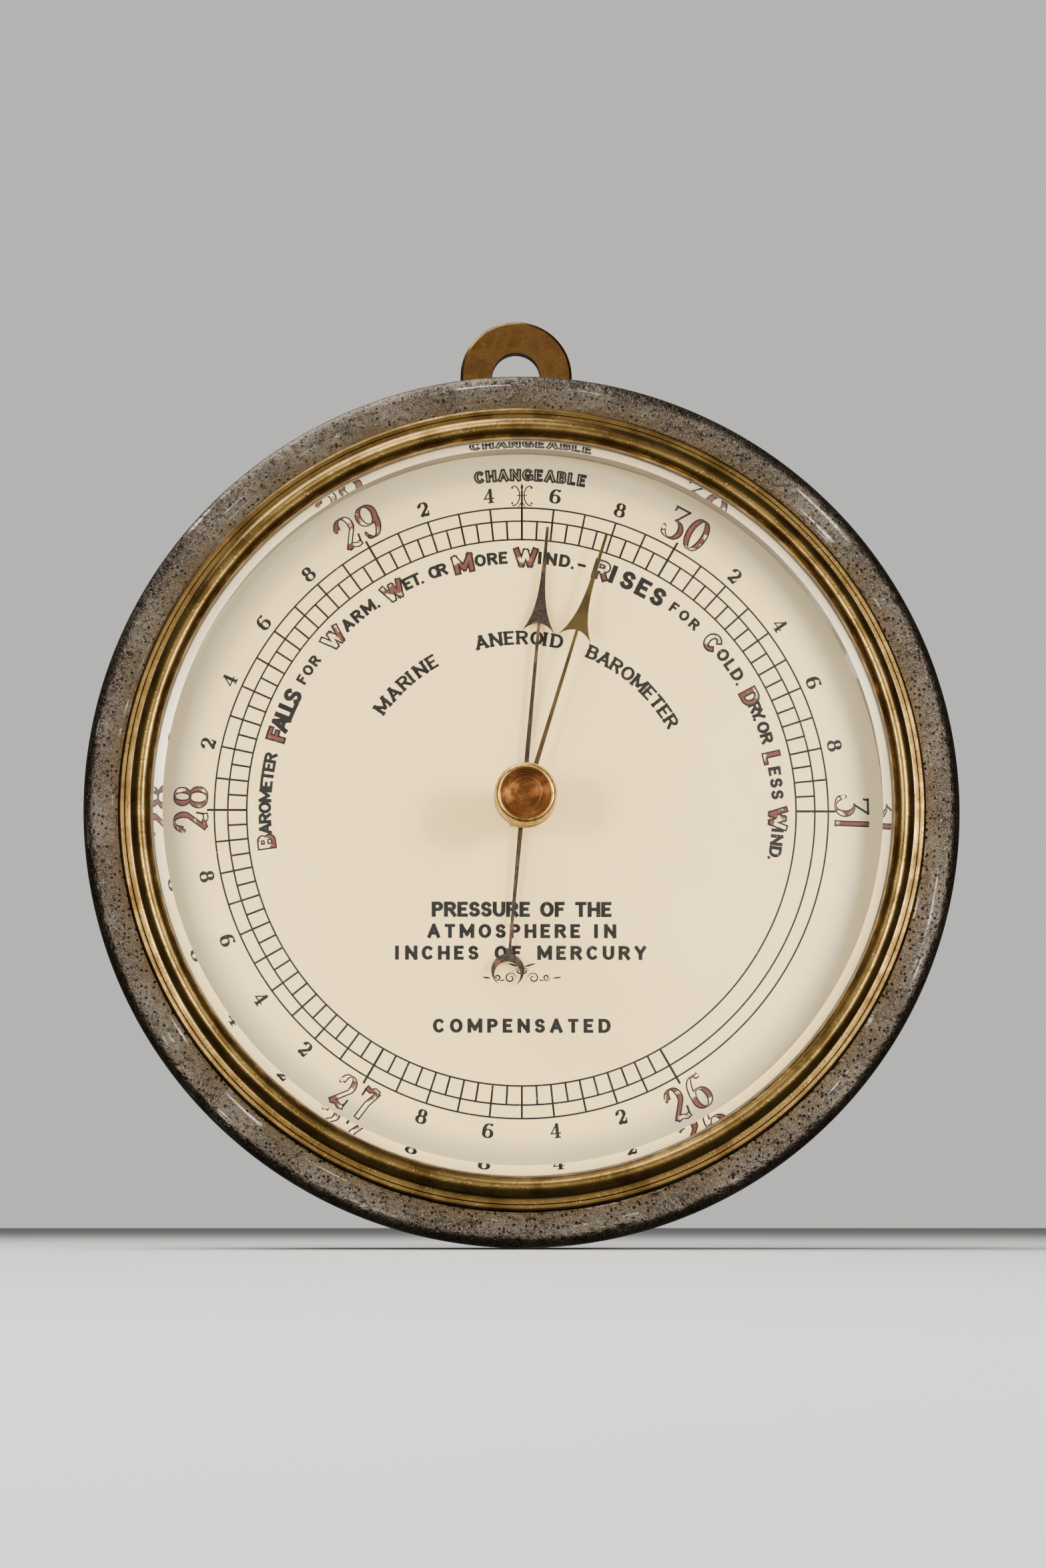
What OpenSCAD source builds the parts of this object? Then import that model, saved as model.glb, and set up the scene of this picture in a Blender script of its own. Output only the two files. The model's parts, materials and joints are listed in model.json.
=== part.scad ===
// Ship's aneroid barometer in a round drum case, with a pressure hand and a set hand.
// Each module is drawn with x to the right, y up and z forward out of the dial,
// and face_forward() turns that so that the dial looks along -Y with +Z up.
// The origin is the centre of the flat back of the case.

/* [Case] */
// Outer diameter of the case's front rim
case_d = 152; // [148:1:158]
// Depth of the case from its flat back to the front rim
case_depth = 56; // [54:1:62]
// Thickness of the case's side wall
case_wall = 2; // [1.5:0.25:2]
// Diameter of the glass that shows inside the bezel
glass_opening_d = 127.8; // [126:0.1:128]

/* [Hanging lug] */
// Diameter of the lug's round head
lug_head_d = 21; // [19:0.5:23]
// Diameter of the hole in the lug
lug_hole_d = 9; // [7:0.5:10]
// Height of the hole above the centre of the case
lug_hole_z = 87; // [87:0.5:92]
// Thickness of the lug
lug_t = 3; // [2.5:0.25:3]

/* [Dial and hands] */
// Distance from the case's front rim back to the face of the dial
dial_drop = 9; // [8.5:0.25:10]
// Length of each hand from its centre to its tip
hand_len = 50; // [46:0.5:52]
// Direction of the pressure hand, clockwise from straight up
pressure_angle = 5.1; // [-15:0.1:15]
// Direction of the set hand, clockwise from straight up
set_angle = 17; // [0:0.5:40]

/* [Movement] */
// Radius of the vacuum capsule
capsule_r = 24; // [22:0.5:24]
// Length of the arm that pulls the chain
chain_arm_len = 20; // [19.5:0.1:20.5]
// Length of the short arm that the connecting link drives
short_arm_len = 4; // [3.8:0.1:4.4]

/* [Hidden] */
$fn = 96;

// Radial sizes of the case and bezel
rim_r = case_d / 2;
drum_r = rim_r - 3;
inner_r = drum_r - case_wall;
bezel_r = rim_r - 6.3;
lip_r = glass_opening_d / 2;
glass_r = 66.6;
flat_r = lip_r - 1.95;
wall_r = lip_r - 0.6;
ring_r = 66.4;
back_t = 2;
rim_len = 7;
rim_round = 2.2;

// Heights above the flat back
dial_z = case_depth - dial_drop;
dial_t = 1;
dial_plate_t = 1.5;
pillar_top = dial_z - dial_t - dial_plate_t;
glass_z = dial_z + 10;
glass_t = 3;
bevel_drop = 1.9;
plate_z = 5;
plate_t = 2.5;
plate_top = plate_z + plate_t;
plate_r = 52;

// Capsule
capsule_z = 9.5;
capsule_h = 7.5;
capsule_mid = capsule_z + capsule_h / 2;
skin_t = 0.45;
wave_h = 0.55;
waves = 4;
post_r = 1.8;
post_top = 27.4;

// Spring, lever and linkage
block_x = 33;
block_w = 10;
block_l = 32;
leaf_z = 22;
leaf_t = 1.4;
lever_z = leaf_z + leaf_t;
lever_t = 1.4;
lever_w = 4.4;
link_x = -38;
lever_pin_z = 21.2;
shaft_x = link_x + short_arm_len;
shaft_z = 14;
shaft_r = 1.2;
pivot_r = 0.6;
running = 0.04;
pin_r = 0.5;
rock_rest = 6.5;

// Arbor
arbor_r = 0.9;
pulley_r = 1.65;
chain_r = 0.33;
wrap_r = chain_arm_len / 10;
chain_z = shaft_z + chain_arm_len * cos(rock_rest);
bridge_z = 38;
bridge_t = 2;
cock_z = 29;
cock_t = 1.5;
spring_z = 36.2;

// Hands
hand_z = dial_z + 2.6;
hand_t = 0.5;
steel_head = hand_len * 0.375;
steel_barb = 2.85;
set_hand_z = dial_z + 6.4;
brass_head = hand_len * 0.385;
brass_barb = 2.95;
spindle_r = 1.2;
hole_r = 2.35;
knob_r = 5.35;
knob_top = case_depth + 21;
knob_base = glass_z + glass_t + 1.4;

module face_forward()
{
    rotate([90, 0, 0]) children();
}

module tube(r_out, r_in, h)
{
    difference()
    {
        cylinder(r = r_out, h = h);
        translate([0, 0, -1]) cylinder(r = r_in, h = h + 2);
    }
}

// Cheese-head screw that points down from z = 0, with a slot across its head
module screw(r, len, head_r, head_h)
{
    translate([0, 0, -len]) cylinder(r = r, h = len, $fn = 32);
    difference()
    {
        cylinder(r = head_r, h = head_h, $fn = 32);
        translate([-head_r - 1, -0.25, head_h * 0.5]) cube([2 * head_r + 2, 0.5, head_h]);
    }
}

// Countersunk screw whose flat head ends at z = 0
module flush_screw(r, len, head_r)
{
    sink = head_r - r;
    difference()
    {
        union()
        {
            translate([0, 0, -len]) cylinder(r = r, h = len - sink, $fn = 32);
            translate([0, 0, -sink]) cylinder(r1 = r, r2 = head_r, h = sink, $fn = 32);
        }
        translate([-head_r - 1, -0.3, -0.7]) cube([2 * head_r + 2, 0.6, 2]);
    }
}

module flush_hole(r, len, head_r)
{
    sink = head_r - r;
    translate([0, 0, -len]) cylinder(r = r, h = len + 1, $fn = 32);
    translate([0, 0, -sink]) cylinder(r1 = r, r2 = head_r, h = sink, $fn = 32);
}

module ring_of_three(r, start)
{
    for (a = [start:120:start + 240])
        rotate([0, 0, a]) translate([r, 0, 0]) children();
}

// ---------- Case, bezel and glass ----------

case_screw_r = 44;
case_screw_start = 90;

module case_profile()
{
    difference()
    {
        union()
        {
            square([drum_r - 3, 3]);
            translate([0, 3]) square([drum_r, case_depth - rim_len]);
            translate([drum_r - 3, 3]) circle(r = 3);
            translate([drum_r - 4, case_depth - rim_len]) square([rim_r - drum_r + 4 - rim_round, rim_len]);
            translate([rim_r - rim_round, case_depth - rim_round]) circle(r = rim_round);
            translate([rim_r - rim_round, case_depth - rim_len + rim_round]) circle(r = rim_round);
            translate([rim_r - rim_round, case_depth - rim_len + rim_round])
                square([rim_round, rim_len - 2 * rim_round]);
        }
        translate([-1, back_t]) square([inner_r + 1, case_depth - rim_len - back_t]);
        translate([-1, back_t]) square([bezel_r + 1.05, case_depth]);
        polygon([[0, case_depth - 1.5], [bezel_r + 0.05, case_depth - 1.5],
            [bezel_r + 0.65, case_depth], [bezel_r + 0.65, case_depth + 1], [0, case_depth + 1]]);
        translate([-1, -1]) square([1, case_depth + 2]);
    }
}

module case_drum()
{
    color("dimgray") face_forward() difference()
    {
        rotate_extrude($fn = 180) case_profile();
        ring_of_three(case_screw_r, case_screw_start) mirror([0, 0, 1]) flush_hole(1.6, 4, 3.2);
        translate([block_x, 0, -1]) cylinder(r = 3.6, h = back_t + 2);
        for (s = [-1, 1])
            translate([6 * s, 0, 10]) rotate([-90, 0, 0]) cylinder(r = 1.2, h = rim_r + 5, $fn = 32);
    }
}

module lug_plate(r)
{
    circle(r = r);
    translate([-r, drum_r - lug_hole_z - 1]) square([2 * r, lug_hole_z - drum_r + 1]);
}

module hanging_lug()
{
    edge = 0.5;
    head_r = lug_head_d / 2;
    foot_end = 16;
    color("darkgoldenrod") face_forward() difference()
    {
        union()
        {
            translate([0, lug_hole_z, 1]) linear_extrude(lug_t - edge) lug_plate(head_r);
            translate([0, lug_hole_z, 1 + lug_t - edge]) cylinder(r1 = head_r, r2 = head_r - edge, h = edge);
            translate([0, lug_hole_z, 1 + lug_t]) rotate([90, 0, 0])
                linear_extrude(lug_hole_z - drum_r + 1)
                    polygon([[-head_r, -edge], [head_r, -edge], [head_r - edge, 0], [edge - head_r, 0]]);
            intersection()
            {
                translate([0, 0, 1]) cylinder(r = drum_r + 2, h = foot_end - 1);
                translate([-head_r, 40, 1]) cube([2 * head_r, 60, foot_end - 1]);
            }
        }
        translate([0, 0, -1]) cylinder(r = drum_r, h = foot_end + 3, $fn = 180);
        translate([0, lug_hole_z, 0]) cylinder(r = lug_hole_d / 2, h = lug_t + 2);
        for (s = [-1, 1])
            translate([6 * s, 0, 10]) rotate([-90, 0, 0]) cylinder(r = 1.2, h = rim_r + 5, $fn = 32);
    }
}

module lug_screws()
{
    color("goldenrod") face_forward() for (s = [-1, 1])
        translate([6 * s, drum_r + 2, 10]) rotate([-90, 0, 0])
            screw(1.2, case_wall + 4, 2.2, 0.8);
}

module case_screws()
{
    color("goldenrod") face_forward()
        ring_of_three(case_screw_r, case_screw_start) mirror([0, 0, 1])
            flush_screw(1.5, plate_top - 0.5, 3.1);
}

module bezel_seat_ring()
{
    color("peru") face_forward() translate([0, 0, dial_z - 4]) tube(inner_r, glass_r + 0.6, 4);
}

module bezel_profile()
{
    skirt_r = glass_r + 0.7;
    bead_r = 1.75;
    bead_z = glass_z + glass_t + 0.2;
    step_z = case_depth + 1.7;
    bevel_end = glass_z + glass_t - bevel_drop;
    translate([skirt_r, dial_z]) square([bezel_r - skirt_r, step_z - dial_z - 0.5]);
    translate([skirt_r, step_z - 1]) square([bezel_r - skirt_r - 0.5, 1]);
    translate([bezel_r - 0.5, step_z - 0.5]) circle(r = 0.5, $fn = 32);
    translate([lip_r + bead_r, bead_z]) intersection()
    {
        circle(r = bead_r, $fn = 64);
        translate([-bead_r, 0]) square([2 * bead_r, bead_r]);
    }
    polygon([[lip_r, bead_z], [lip_r, bevel_end + 0.03], [skirt_r, bevel_end + 0.03],
        [skirt_r, step_z - 1], [lip_r + 2 * bead_r, step_z - 1], [lip_r + 2 * bead_r, bead_z]]);
}

module bezel()
{
    color("goldenrod") face_forward() rotate_extrude($fn = 180) bezel_profile();
}

module glass()
{
    top = glass_z + glass_t;
    color("lightcyan", 0.35) face_forward() rotate_extrude($fn = 180)
        polygon([[hole_r, glass_z], [glass_r, glass_z], [glass_r, top - bevel_drop],
            [flat_r + bevel_drop, top - bevel_drop], [flat_r, top], [hole_r, top]]);
}

module glass_bush()
{
    color("darkgoldenrod") face_forward() difference()
    {
        union()
        {
            translate([0, 0, glass_z - 1.8]) cylinder(r = hole_r, h = glass_t + 2);
            translate([0, 0, glass_z + glass_t]) cylinder(r = 4.2, h = 0.6);
            translate([0, 0, glass_z + glass_t + 0.6]) cylinder(r1 = 4.2, r2 = 3.8, h = 0.4);
        }
        translate([0, 0, glass_z - 5]) cylinder(r = spindle_r + running, h = glass_t + 10);
    }
}

module bush_nut()
{
    color("goldenrod") face_forward() translate([0, 0, glass_z - 1.6]) difference()
    {
        cylinder(r = 4.4, h = 1.6, $fn = 6);
        translate([0, 0, -1]) cylinder(r = hole_r, h = 4);
    }
}

module wall_ring()
{
    color("tan") face_forward() translate([0, 0, dial_z]) tube(ring_r, wall_r, glass_z - dial_z, $fn = 180);
}

// ---------- Dial ----------

dial_pillar_r = 45;
dial_pillar_start = 45;

module dial()
{
    color("antiquewhite") face_forward() translate([0, 0, dial_z - dial_t])
        tube(ring_r, 2.5, dial_t, $fn = 180);
}

module dial_plate()
{
    color("goldenrod") face_forward() difference()
    {
        translate([0, 0, pillar_top]) tube(ring_r, 2.5, dial_plate_t, $fn = 180);
        ring_of_three(dial_pillar_r, dial_pillar_start) translate([0, 0, dial_z - dial_t])
            flush_hole(1, 4, 2.1);
    }
}

module dial_pillars()
{
    color("goldenrod") face_forward() ring_of_three(dial_pillar_r, dial_pillar_start) difference()
    {
        union()
        {
            translate([0, 0, plate_top]) cylinder(r = 2.6, h = pillar_top - plate_top);
            translate([0, 0, plate_z]) cylinder(r = 1.5, h = plate_t);
        }
        translate([0, 0, pillar_top - 5]) cylinder(r = 1, h = 6, $fn = 32);
    }
}

module dial_screws()
{
    color("silver") face_forward() ring_of_three(dial_pillar_r, dial_pillar_start)
        translate([0, 0, dial_z - dial_t]) flush_screw(1, 5.5, 2.1);
}

// ---------- Base plate and capsule ----------

pillar_y = 36;
bracket_y = 15;
block_screw_y = 11;

module base_plate()
{
    color("goldenrod") face_forward() difference()
    {
        translate([0, 0, plate_z]) cylinder(r = plate_r, h = plate_t, $fn = 180);
        translate([0, 0, plate_z - 1])
        {
            cylinder(r = 3, h = plate_t + 2);
            ring_of_three(case_screw_r, case_screw_start) cylinder(r = 1.5, h = plate_t + 2);
            ring_of_three(dial_pillar_r, dial_pillar_start) cylinder(r = 1.5, h = plate_t + 2);
            translate([block_x, 0, 0]) cylinder(r = 2 + running, h = plate_t + 2);
            for (s = [-1, 1])
            {
                translate([block_x, s * block_screw_y, 0]) cylinder(r = 1.5, h = plate_t + 2);
                translate([0, s * pillar_y, 0]) cylinder(r = 1.5, h = plate_t + 2);
                translate([shaft_x + 6, s * bracket_y, 0]) cylinder(r = 1, h = plate_t + 2);
            }
        }
    }
}

module spacer_washers()
{
    color("peru") face_forward() ring_of_three(case_screw_r, case_screw_start)
        translate([0, 0, back_t]) tube(5, 1.6, plate_z - back_t);
}

function wave(r) = wave_h * (1 - cos(360 * waves * (r - 4) / (capsule_r - 6))) / 2;

// One corrugated skin of the capsule, rising from its rim at z = 0 to its centre
module capsule_skin()
{
    rise = capsule_h / 2 - wave_h - skin_t;
    rings = [for (i = [0:32]) 4 + (capsule_r - 6) * i / 32];
    rotate_extrude() union()
    {
        translate([0, rise]) square([4, skin_t]);
        polygon(concat([for (r = rings) [r, rise + wave(r)]],
            [for (i = [32:-1:0]) [rings[i], rise + wave(rings[i]) + skin_t]]));
        translate([capsule_r - 2, 0]) square([skin_t, rise + skin_t]);
        translate([capsule_r - 2, 0]) square([2, skin_t]);
    }
}

module capsule_lower()
{
    color("silver") face_forward() difference()
    {
        translate([0, 0, capsule_mid]) mirror([0, 0, 1]) capsule_skin();
        translate([0, 0, capsule_z - 1]) cylinder(r = 1.2, h = 4);
    }
}

module capsule_upper()
{
    color("silver") face_forward() translate([0, 0, capsule_mid]) capsule_skin();
}

// Height of the outer face at the centre of each skin, measured from the middle of the capsule
skin_face = capsule_h / 2 - wave_h;

module capsule_stud()
{
    color("goldenrod") face_forward()
    {
        translate([0, 0, plate_top]) cylinder(r = 3.9, h = capsule_mid - skin_face - plate_top);
        translate([0, 0, back_t + 0.8]) cylinder(r = 3, h = plate_top - back_t - 0.8);
        translate([0, 0, capsule_mid - skin_face]) cylinder(r = 1.2, h = 1.2);
    }
}

module capsule_post()
{
    foot_z = capsule_mid + skin_face;
    color("goldenrod") face_forward() difference()
    {
        union()
        {
            translate([0, 0, foot_z]) cylinder(r = 3.8, h = 1);
            translate([0, 0, foot_z]) cylinder(r = post_r, h = post_top - foot_z);
        }
        translate([0, -5, post_pin_z]) rotate([-90, 0, 0]) cylinder(r = 0.8, h = 10, $fn = 32);
    }
}

post_pin_z = lever_z + lever_t + 0.95;

module post_pin()
{
    color("steelblue") face_forward() translate([0, -4.5, post_pin_z]) rotate([-90, 0, 0])
        cylinder(r = 0.8, h = 9, $fn = 32);
}

// ---------- Mainspring and its block ----------

clamp_y = 8;

module spring_block()
{
    color("darkgoldenrod") face_forward() difference()
    {
        translate([block_x - block_w / 2, -block_l / 2, plate_top]) cube([block_w, block_l, leaf_z - plate_top]);
        translate([block_x - block_w, 0, plate_top + 5.5]) rotate([0, 90, 0])
            cylinder(r = 4, h = 2 * block_w);
        for (s = [-1, 1])
        {
            translate([block_x, s * block_screw_y, plate_top - 1]) cylinder(r = 1.5, h = 6, $fn = 32);
            translate([block_x, s * clamp_y, leaf_z - 5]) cylinder(r = 1.4, h = 6, $fn = 32);
        }
    }
}

module block_screws()
{
    color("steelblue") face_forward() for (s = [-1, 1])
        translate([block_x, s * block_screw_y, plate_z]) mirror([0, 0, 1])
            screw(1.5, plate_t + 4.8, 2.8, 1.6);
}

module mainspring()
{
    root_x = block_x + block_w / 2;
    color("slategray") face_forward() translate([0, 0, leaf_z]) linear_extrude(leaf_t) difference()
    {
        polygon([[root_x, -13], [root_x, 13], [block_x - block_w / 2, 13], [-8, 6], [-8, -6],
            [block_x - block_w / 2, -13]]);
        circle(r = post_r + 0.5);
        for (x = [-5, 5]) translate([x, 0]) circle(r = 0.9, $fn = 32);
        for (s = [-1, 1]) translate([block_x, s * clamp_y]) circle(r = 1.4, $fn = 32);
    }
}

module spring_clamp()
{
    color("darkgoldenrod") face_forward() difference()
    {
        translate([block_x - block_w / 2, -13, lever_z]) cube([block_w, 26, 2]);
        for (s = [-1, 1])
            translate([block_x, s * clamp_y, lever_z - 1]) cylinder(r = 1.4, h = 4, $fn = 32);
    }
}

module clamp_screws()
{
    color("steelblue") face_forward() for (s = [-1, 1])
        translate([block_x, s * clamp_y, lever_z + 2]) screw(1.4, 7.5, 2.6, 1.7);
}

// Slotted screw reached through the back, which tilts the spring block to set the hand
module adjusting_screw()
{
    color("steelblue") face_forward() translate([block_x, 0, 0])
    {
        difference()
        {
            translate([0, 0, 0.8]) cylinder(r = 3, h = 3.2);
            translate([-4, -0.4, 0]) cube([8, 0.8, 1.8]);
        }
        translate([0, 0, 4]) cylinder(r = 2, h = plate_top - 4.05);
    }
}

// ---------- Main lever and link ----------

fork_w = 1;
link_w = 1.4;
fork_gap = link_w / 2 + 0.1;

module main_lever()
{
    color("goldenrod") face_forward()
    {
        translate([0, 0, lever_z]) linear_extrude(lever_t) difference()
        {
            union()
            {
                translate([link_x - 2, -lever_w / 2]) square([10 - link_x, lever_w]);
                circle(r = 4.2);
            }
            circle(r = post_r + 0.5);
            for (x = [-5, 5]) translate([x, 0]) circle(r = 0.8, $fn = 32);
        }
        for (s = [-1, 1]) lever_ear(s * (fork_gap + fork_w / 2));
    }
}

module lever_ear(y)
{
    translate([link_x, y + fork_w / 2, 0]) rotate([90, 0, 0]) linear_extrude(fork_w) difference()
    {
        union()
        {
            translate([0, lever_pin_z]) circle(r = 1.5, $fn = 32);
            translate([-1.5, lever_pin_z]) square([3, lever_z - lever_pin_z]);
        }
        translate([0, lever_pin_z]) circle(r = pin_r, $fn = 32);
    }
}

module compensation_bar()
{
    color("peru") face_forward() translate([link_x + 4, -1.6, lever_z + lever_t]) cube([22, 3.2, 0.9]);
}

module lever_screws()
{
    color("steelblue") face_forward() for (x = [-5, 5])
        translate([x, 0, lever_z + lever_t]) screw(0.8, lever_t + leaf_t + 0.6, 1.5, 0.9);
}

module cross_pin(x, z, half)
{
    translate([x, half, z]) rotate([90, 0, 0]) cylinder(r = pin_r, h = 2 * half, $fn = 32);
}

module lever_pin()
{
    color("steelblue") face_forward() cross_pin(link_x, lever_pin_z, 2);
}

// Place of the short arm's pin at rest
arm_pin_x = shaft_x - short_arm_len * cos(rock_rest);
arm_pin_z = shaft_z - short_arm_len * sin(rock_rest);

module connecting_link()
{
    color("silver") face_forward() translate([0, link_w / 2, 0]) rotate([90, 0, 0])
        linear_extrude(link_w) difference()
    {
        union()
        {
            translate([link_x, lever_pin_z]) circle(r = 1.2, $fn = 32);
            translate([arm_pin_x, arm_pin_z]) circle(r = 1.5, $fn = 32);
            polygon([[arm_pin_x - 0.6, arm_pin_z], [arm_pin_x + 0.6, arm_pin_z],
                [link_x + 0.6, lever_pin_z], [link_x - 0.6, lever_pin_z]]);
        }
        translate([link_x, lever_pin_z]) circle(r = pin_r + running, $fn = 32);
        translate([arm_pin_x, arm_pin_z]) circle(r = pin_r + 0.25, $fn = 32);
    }
}

// ---------- Rocking shaft and its arms ----------

shaft_half = 14;
arm_y = -4;

// Turns the arms about the rocking shaft to where they stand at rest
module rocked()
{
    translate([shaft_x, 0, shaft_z]) rotate([0, -rock_rest, 0]) children();
}

module rocking_shaft()
{
    color("steelblue") face_forward() rocked()
    {
        translate([0, shaft_half - 0.5, 0]) rotate([90, 0, 0]) cylinder(r = shaft_r, h = 2 * shaft_half - 1);
        translate([0, shaft_half + 1.8, 0]) rotate([90, 0, 0])
            cylinder(r = pivot_r, h = 2 * shaft_half + 3.6, $fn = 32);
    }
}

module chain_arm()
{
    color("goldenrod") face_forward() rocked() difference()
    {
        union()
        {
            translate([0, arm_y + 1, 0]) rotate([90, 0, 0]) cylinder(r = 2.4, h = 2);
            translate([0, arm_y + 0.6, 0]) rotate([90, 0, 0]) linear_extrude(1.2)
                polygon([[-1.6, 0], [1.6, 0], [0.8, chain_arm_len + 1], [-0.8, chain_arm_len + 1]]);
            translate([0, arm_y + 3, chain_arm_len]) rotate([90, 0, 0]) cylinder(r = 0.5, h = 3, $fn = 32);
        }
        translate([0, 5, 0]) rotate([90, 0, 0]) cylinder(r = shaft_r, h = 20);
    }
}

module short_arm()
{
    color("goldenrod") face_forward() rocked() difference()
    {
        union()
        {
            translate([0, 2, 0]) rotate([90, 0, 0]) cylinder(r = 2, h = 4);
            for (s = [-1, 1])
                translate([0, s * (fork_gap + fork_w / 2) + fork_w / 2, 0]) rotate([90, 0, 0])
                    linear_extrude(fork_w) union()
                    {
                        translate([-short_arm_len, -1]) square([short_arm_len, 2]);
                        translate([-short_arm_len, 0]) circle(r = 1, $fn = 32);
                    }
        }
        translate([-short_arm_len - 2, -fork_gap, -3]) cube([short_arm_len, 2 * fork_gap, 6]);
        translate([0, 5, 0]) rotate([90, 0, 0]) cylinder(r = shaft_r, h = 10);
        translate([-short_arm_len, 5, 0]) rotate([90, 0, 0]) cylinder(r = pin_r, h = 10, $fn = 32);
    }
}

module arm_pin()
{
    color("steelblue") face_forward() cross_pin(arm_pin_x, arm_pin_z, 2);
}

module shaft_brackets()
{
    color("goldenrod") face_forward() for (s = [-1, 1]) difference()
    {
        union()
        {
            translate([shaft_x - 3, s * bracket_y - 1, plate_top]) cube([6, 2, shaft_z - plate_top]);
            translate([shaft_x, s * bracket_y + 1, shaft_z]) rotate([90, 0, 0]) cylinder(r = 3, h = 2);
            translate([shaft_x - 3, s * bracket_y - 2.5, plate_top]) cube([12, 5, 1.5]);
        }
        translate([shaft_x, s * bracket_y + 5, shaft_z]) rotate([90, 0, 0])
            cylinder(r = pivot_r + running, h = 10, $fn = 32);
        translate([shaft_x + 6, s * bracket_y, plate_top - 1]) cylinder(r = 1, h = 5, $fn = 32);
    }
}

module bracket_screws()
{
    color("steelblue") face_forward() for (s = [-1, 1])
        translate([shaft_x + 6, s * bracket_y, plate_top + 1.5]) screw(1, 3.5, 1.9, 1.2);
}

// ---------- Bridge and arbor ----------

module bridge_pillars()
{
    color("goldenrod") face_forward() for (s = [-1, 1]) translate([0, s * pillar_y, 0]) difference()
    {
        union()
        {
            translate([0, 0, plate_top]) cylinder(r = 3, h = bridge_z - plate_top);
            translate([0, 0, plate_z]) cylinder(r = 1.5, h = plate_t);
        }
        translate([0, 0, bridge_z - 6]) cylinder(r = 1.2, h = 7, $fn = 32);
    }
}

module movement_bridge()
{
    color("goldenrod") face_forward() translate([0, 0, bridge_z]) linear_extrude(bridge_t) difference()
    {
        union()
        {
            translate([-5, -pillar_y]) square([10, 2 * pillar_y]);
            for (s = [-1, 1]) translate([0, s * pillar_y]) circle(r = 5);
            circle(r = 11);
        }
        for (s = [-1, 1])
        {
            translate([0, s * pillar_y]) circle(r = 1.2, $fn = 32);
            translate([0, s * cock_y]) circle(r = 1, $fn = 32);
        }
        circle(r = 2.4);
        translate([stud_r, 0]) circle(r = 0.8, $fn = 32);
    }
}

cock_y = 14;
stud_r = 8.6;

module bridge_screws()
{
    color("steelblue") face_forward() for (s = [-1, 1])
    {
        translate([0, s * pillar_y, bridge_z + bridge_t]) screw(1.2, 7, 2.3, 1.4);
        translate([0, s * cock_y, bridge_z + bridge_t]) screw(1, 4.5, 1.9, 1.2);
    }
}

module arbor_bush()
{
    color("peru") face_forward() translate([0, 0, bridge_z - 0.3]) tube(2.4, arbor_r + running, bridge_t + 0.8);
}

module arbor_cock()
{
    color("goldenrod") face_forward() difference()
    {
        union()
        {
            translate([-3, -cock_y - 2, cock_z]) cube([6, 2 * cock_y + 4, cock_t]);
            for (s = [-1, 1]) translate([-3, s * cock_y - 2, cock_z]) cube([6, 4, bridge_z - cock_z]);
        }
        translate([0, 0, cock_z - 1]) cylinder(r = 0.5 + running, h = cock_t + 2, $fn = 32);
        for (s = [-1, 1])
            translate([0, s * cock_y, bridge_z - 4]) cylinder(r = 1, h = 5, $fn = 32);
    }
}

module hand_arbor()
{
    shoulder = cock_z + cock_t + 0.2;
    color("steelblue") face_forward()
    {
        translate([0, 0, cock_z + 0.1]) cylinder(r = 0.5, h = shoulder - cock_z, $fn = 32);
        translate([0, 0, shoulder]) cylinder(r = arbor_r, h = hand_z + 1.1 - shoulder, $fn = 48);
    }
}

module arbor_pulley()
{
    z0 = chain_z - 1.6;
    color("goldenrod") face_forward() difference()
    {
        union()
        {
            translate([0, 0, z0]) cylinder(r = pulley_r, h = 2.9);
            translate([0, 0, z0 - 0.5]) cylinder(r = 2.9, h = 0.5);
            translate([0, 0, z0 + 2.4]) cylinder(r = 2.9, h = 0.4);
        }
        translate([0, 0, z0 - 2]) cylinder(r = arbor_r, h = 8, $fn = 48);
    }
}

// Chain from the arm's pin to the underside of the pulley, with one turn about it
module arbor_chain()
{
    pin_x = shaft_x - chain_arm_len * sin(rock_rest);
    color("gray") face_forward()
    {
        translate([pin_x + 0.55, -wrap_r, chain_z]) rotate([0, 90, 0])
            cylinder(r = chain_r, h = -pin_x - 0.55, $fn = 16);
        translate([0, 0, chain_z]) rotate_extrude(angle = 300, start = -90)
            translate([wrap_r, 0]) circle(r = chain_r, $fn = 16);
    }
}

module hairspring_collet()
{
    color("goldenrod") face_forward() translate([0, 0, spring_z - 0.1]) tube(1.7, arbor_r, 1, $fn = 48);
}

turns = 5;
steps = 20;
coil_in = 1.75;
coil_out = stud_r - 0.7;
strip_t = 0.16;

function spiral(i, off) = let (a = 360 * i / steps, r = coil_in + off + (coil_out - coil_in) * i / (turns * steps))
    [r * cos(a), r * sin(a)];

module hairspring()
{
    color("steelblue") face_forward() translate([0, 0, spring_z]) linear_extrude(0.8)
        polygon(concat([for (i = [0:turns * steps]) spiral(i, 0)],
            [for (i = [turns * steps:-1:0]) spiral(i, strip_t)]));
}

module hairspring_stud()
{
    color("goldenrod") face_forward() translate([stud_r, 0, spring_z - 0.2])
        cylinder(r = 0.8, h = bridge_z + bridge_t - spring_z + 0.2 + 0.6, $fn = 32);
}

// ---------- Hands ----------

// Concave side of an arrow head: half-width at distance s from its point, over its length
function flare(s, len, half_tip, half_barb) =
    half_tip + 0.25 * s / len + (half_barb - half_tip - 0.25) * pow(s / len, 5);

// Arrow head with its point at height tip, and an arch of the given rise between its barbs
module arrow(tip, head, rise, half_tip, half_barb)
{
    parts = 12;
    arch = [for (i = [1:parts - 1]) let (x = half_barb * (2 * i / parts - 1))
        [x, tip - head + rise * (1 - pow(x / half_barb, 2))]];
    right = [for (i = [parts:-1:0]) let (s = head * i / parts) [flare(s, head, half_tip, half_barb), tip - s]];
    left = [for (i = [parts:-1:0]) [-right[i][0], right[i][1]]];
    polygon(concat(arch, right, left));
}

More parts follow.
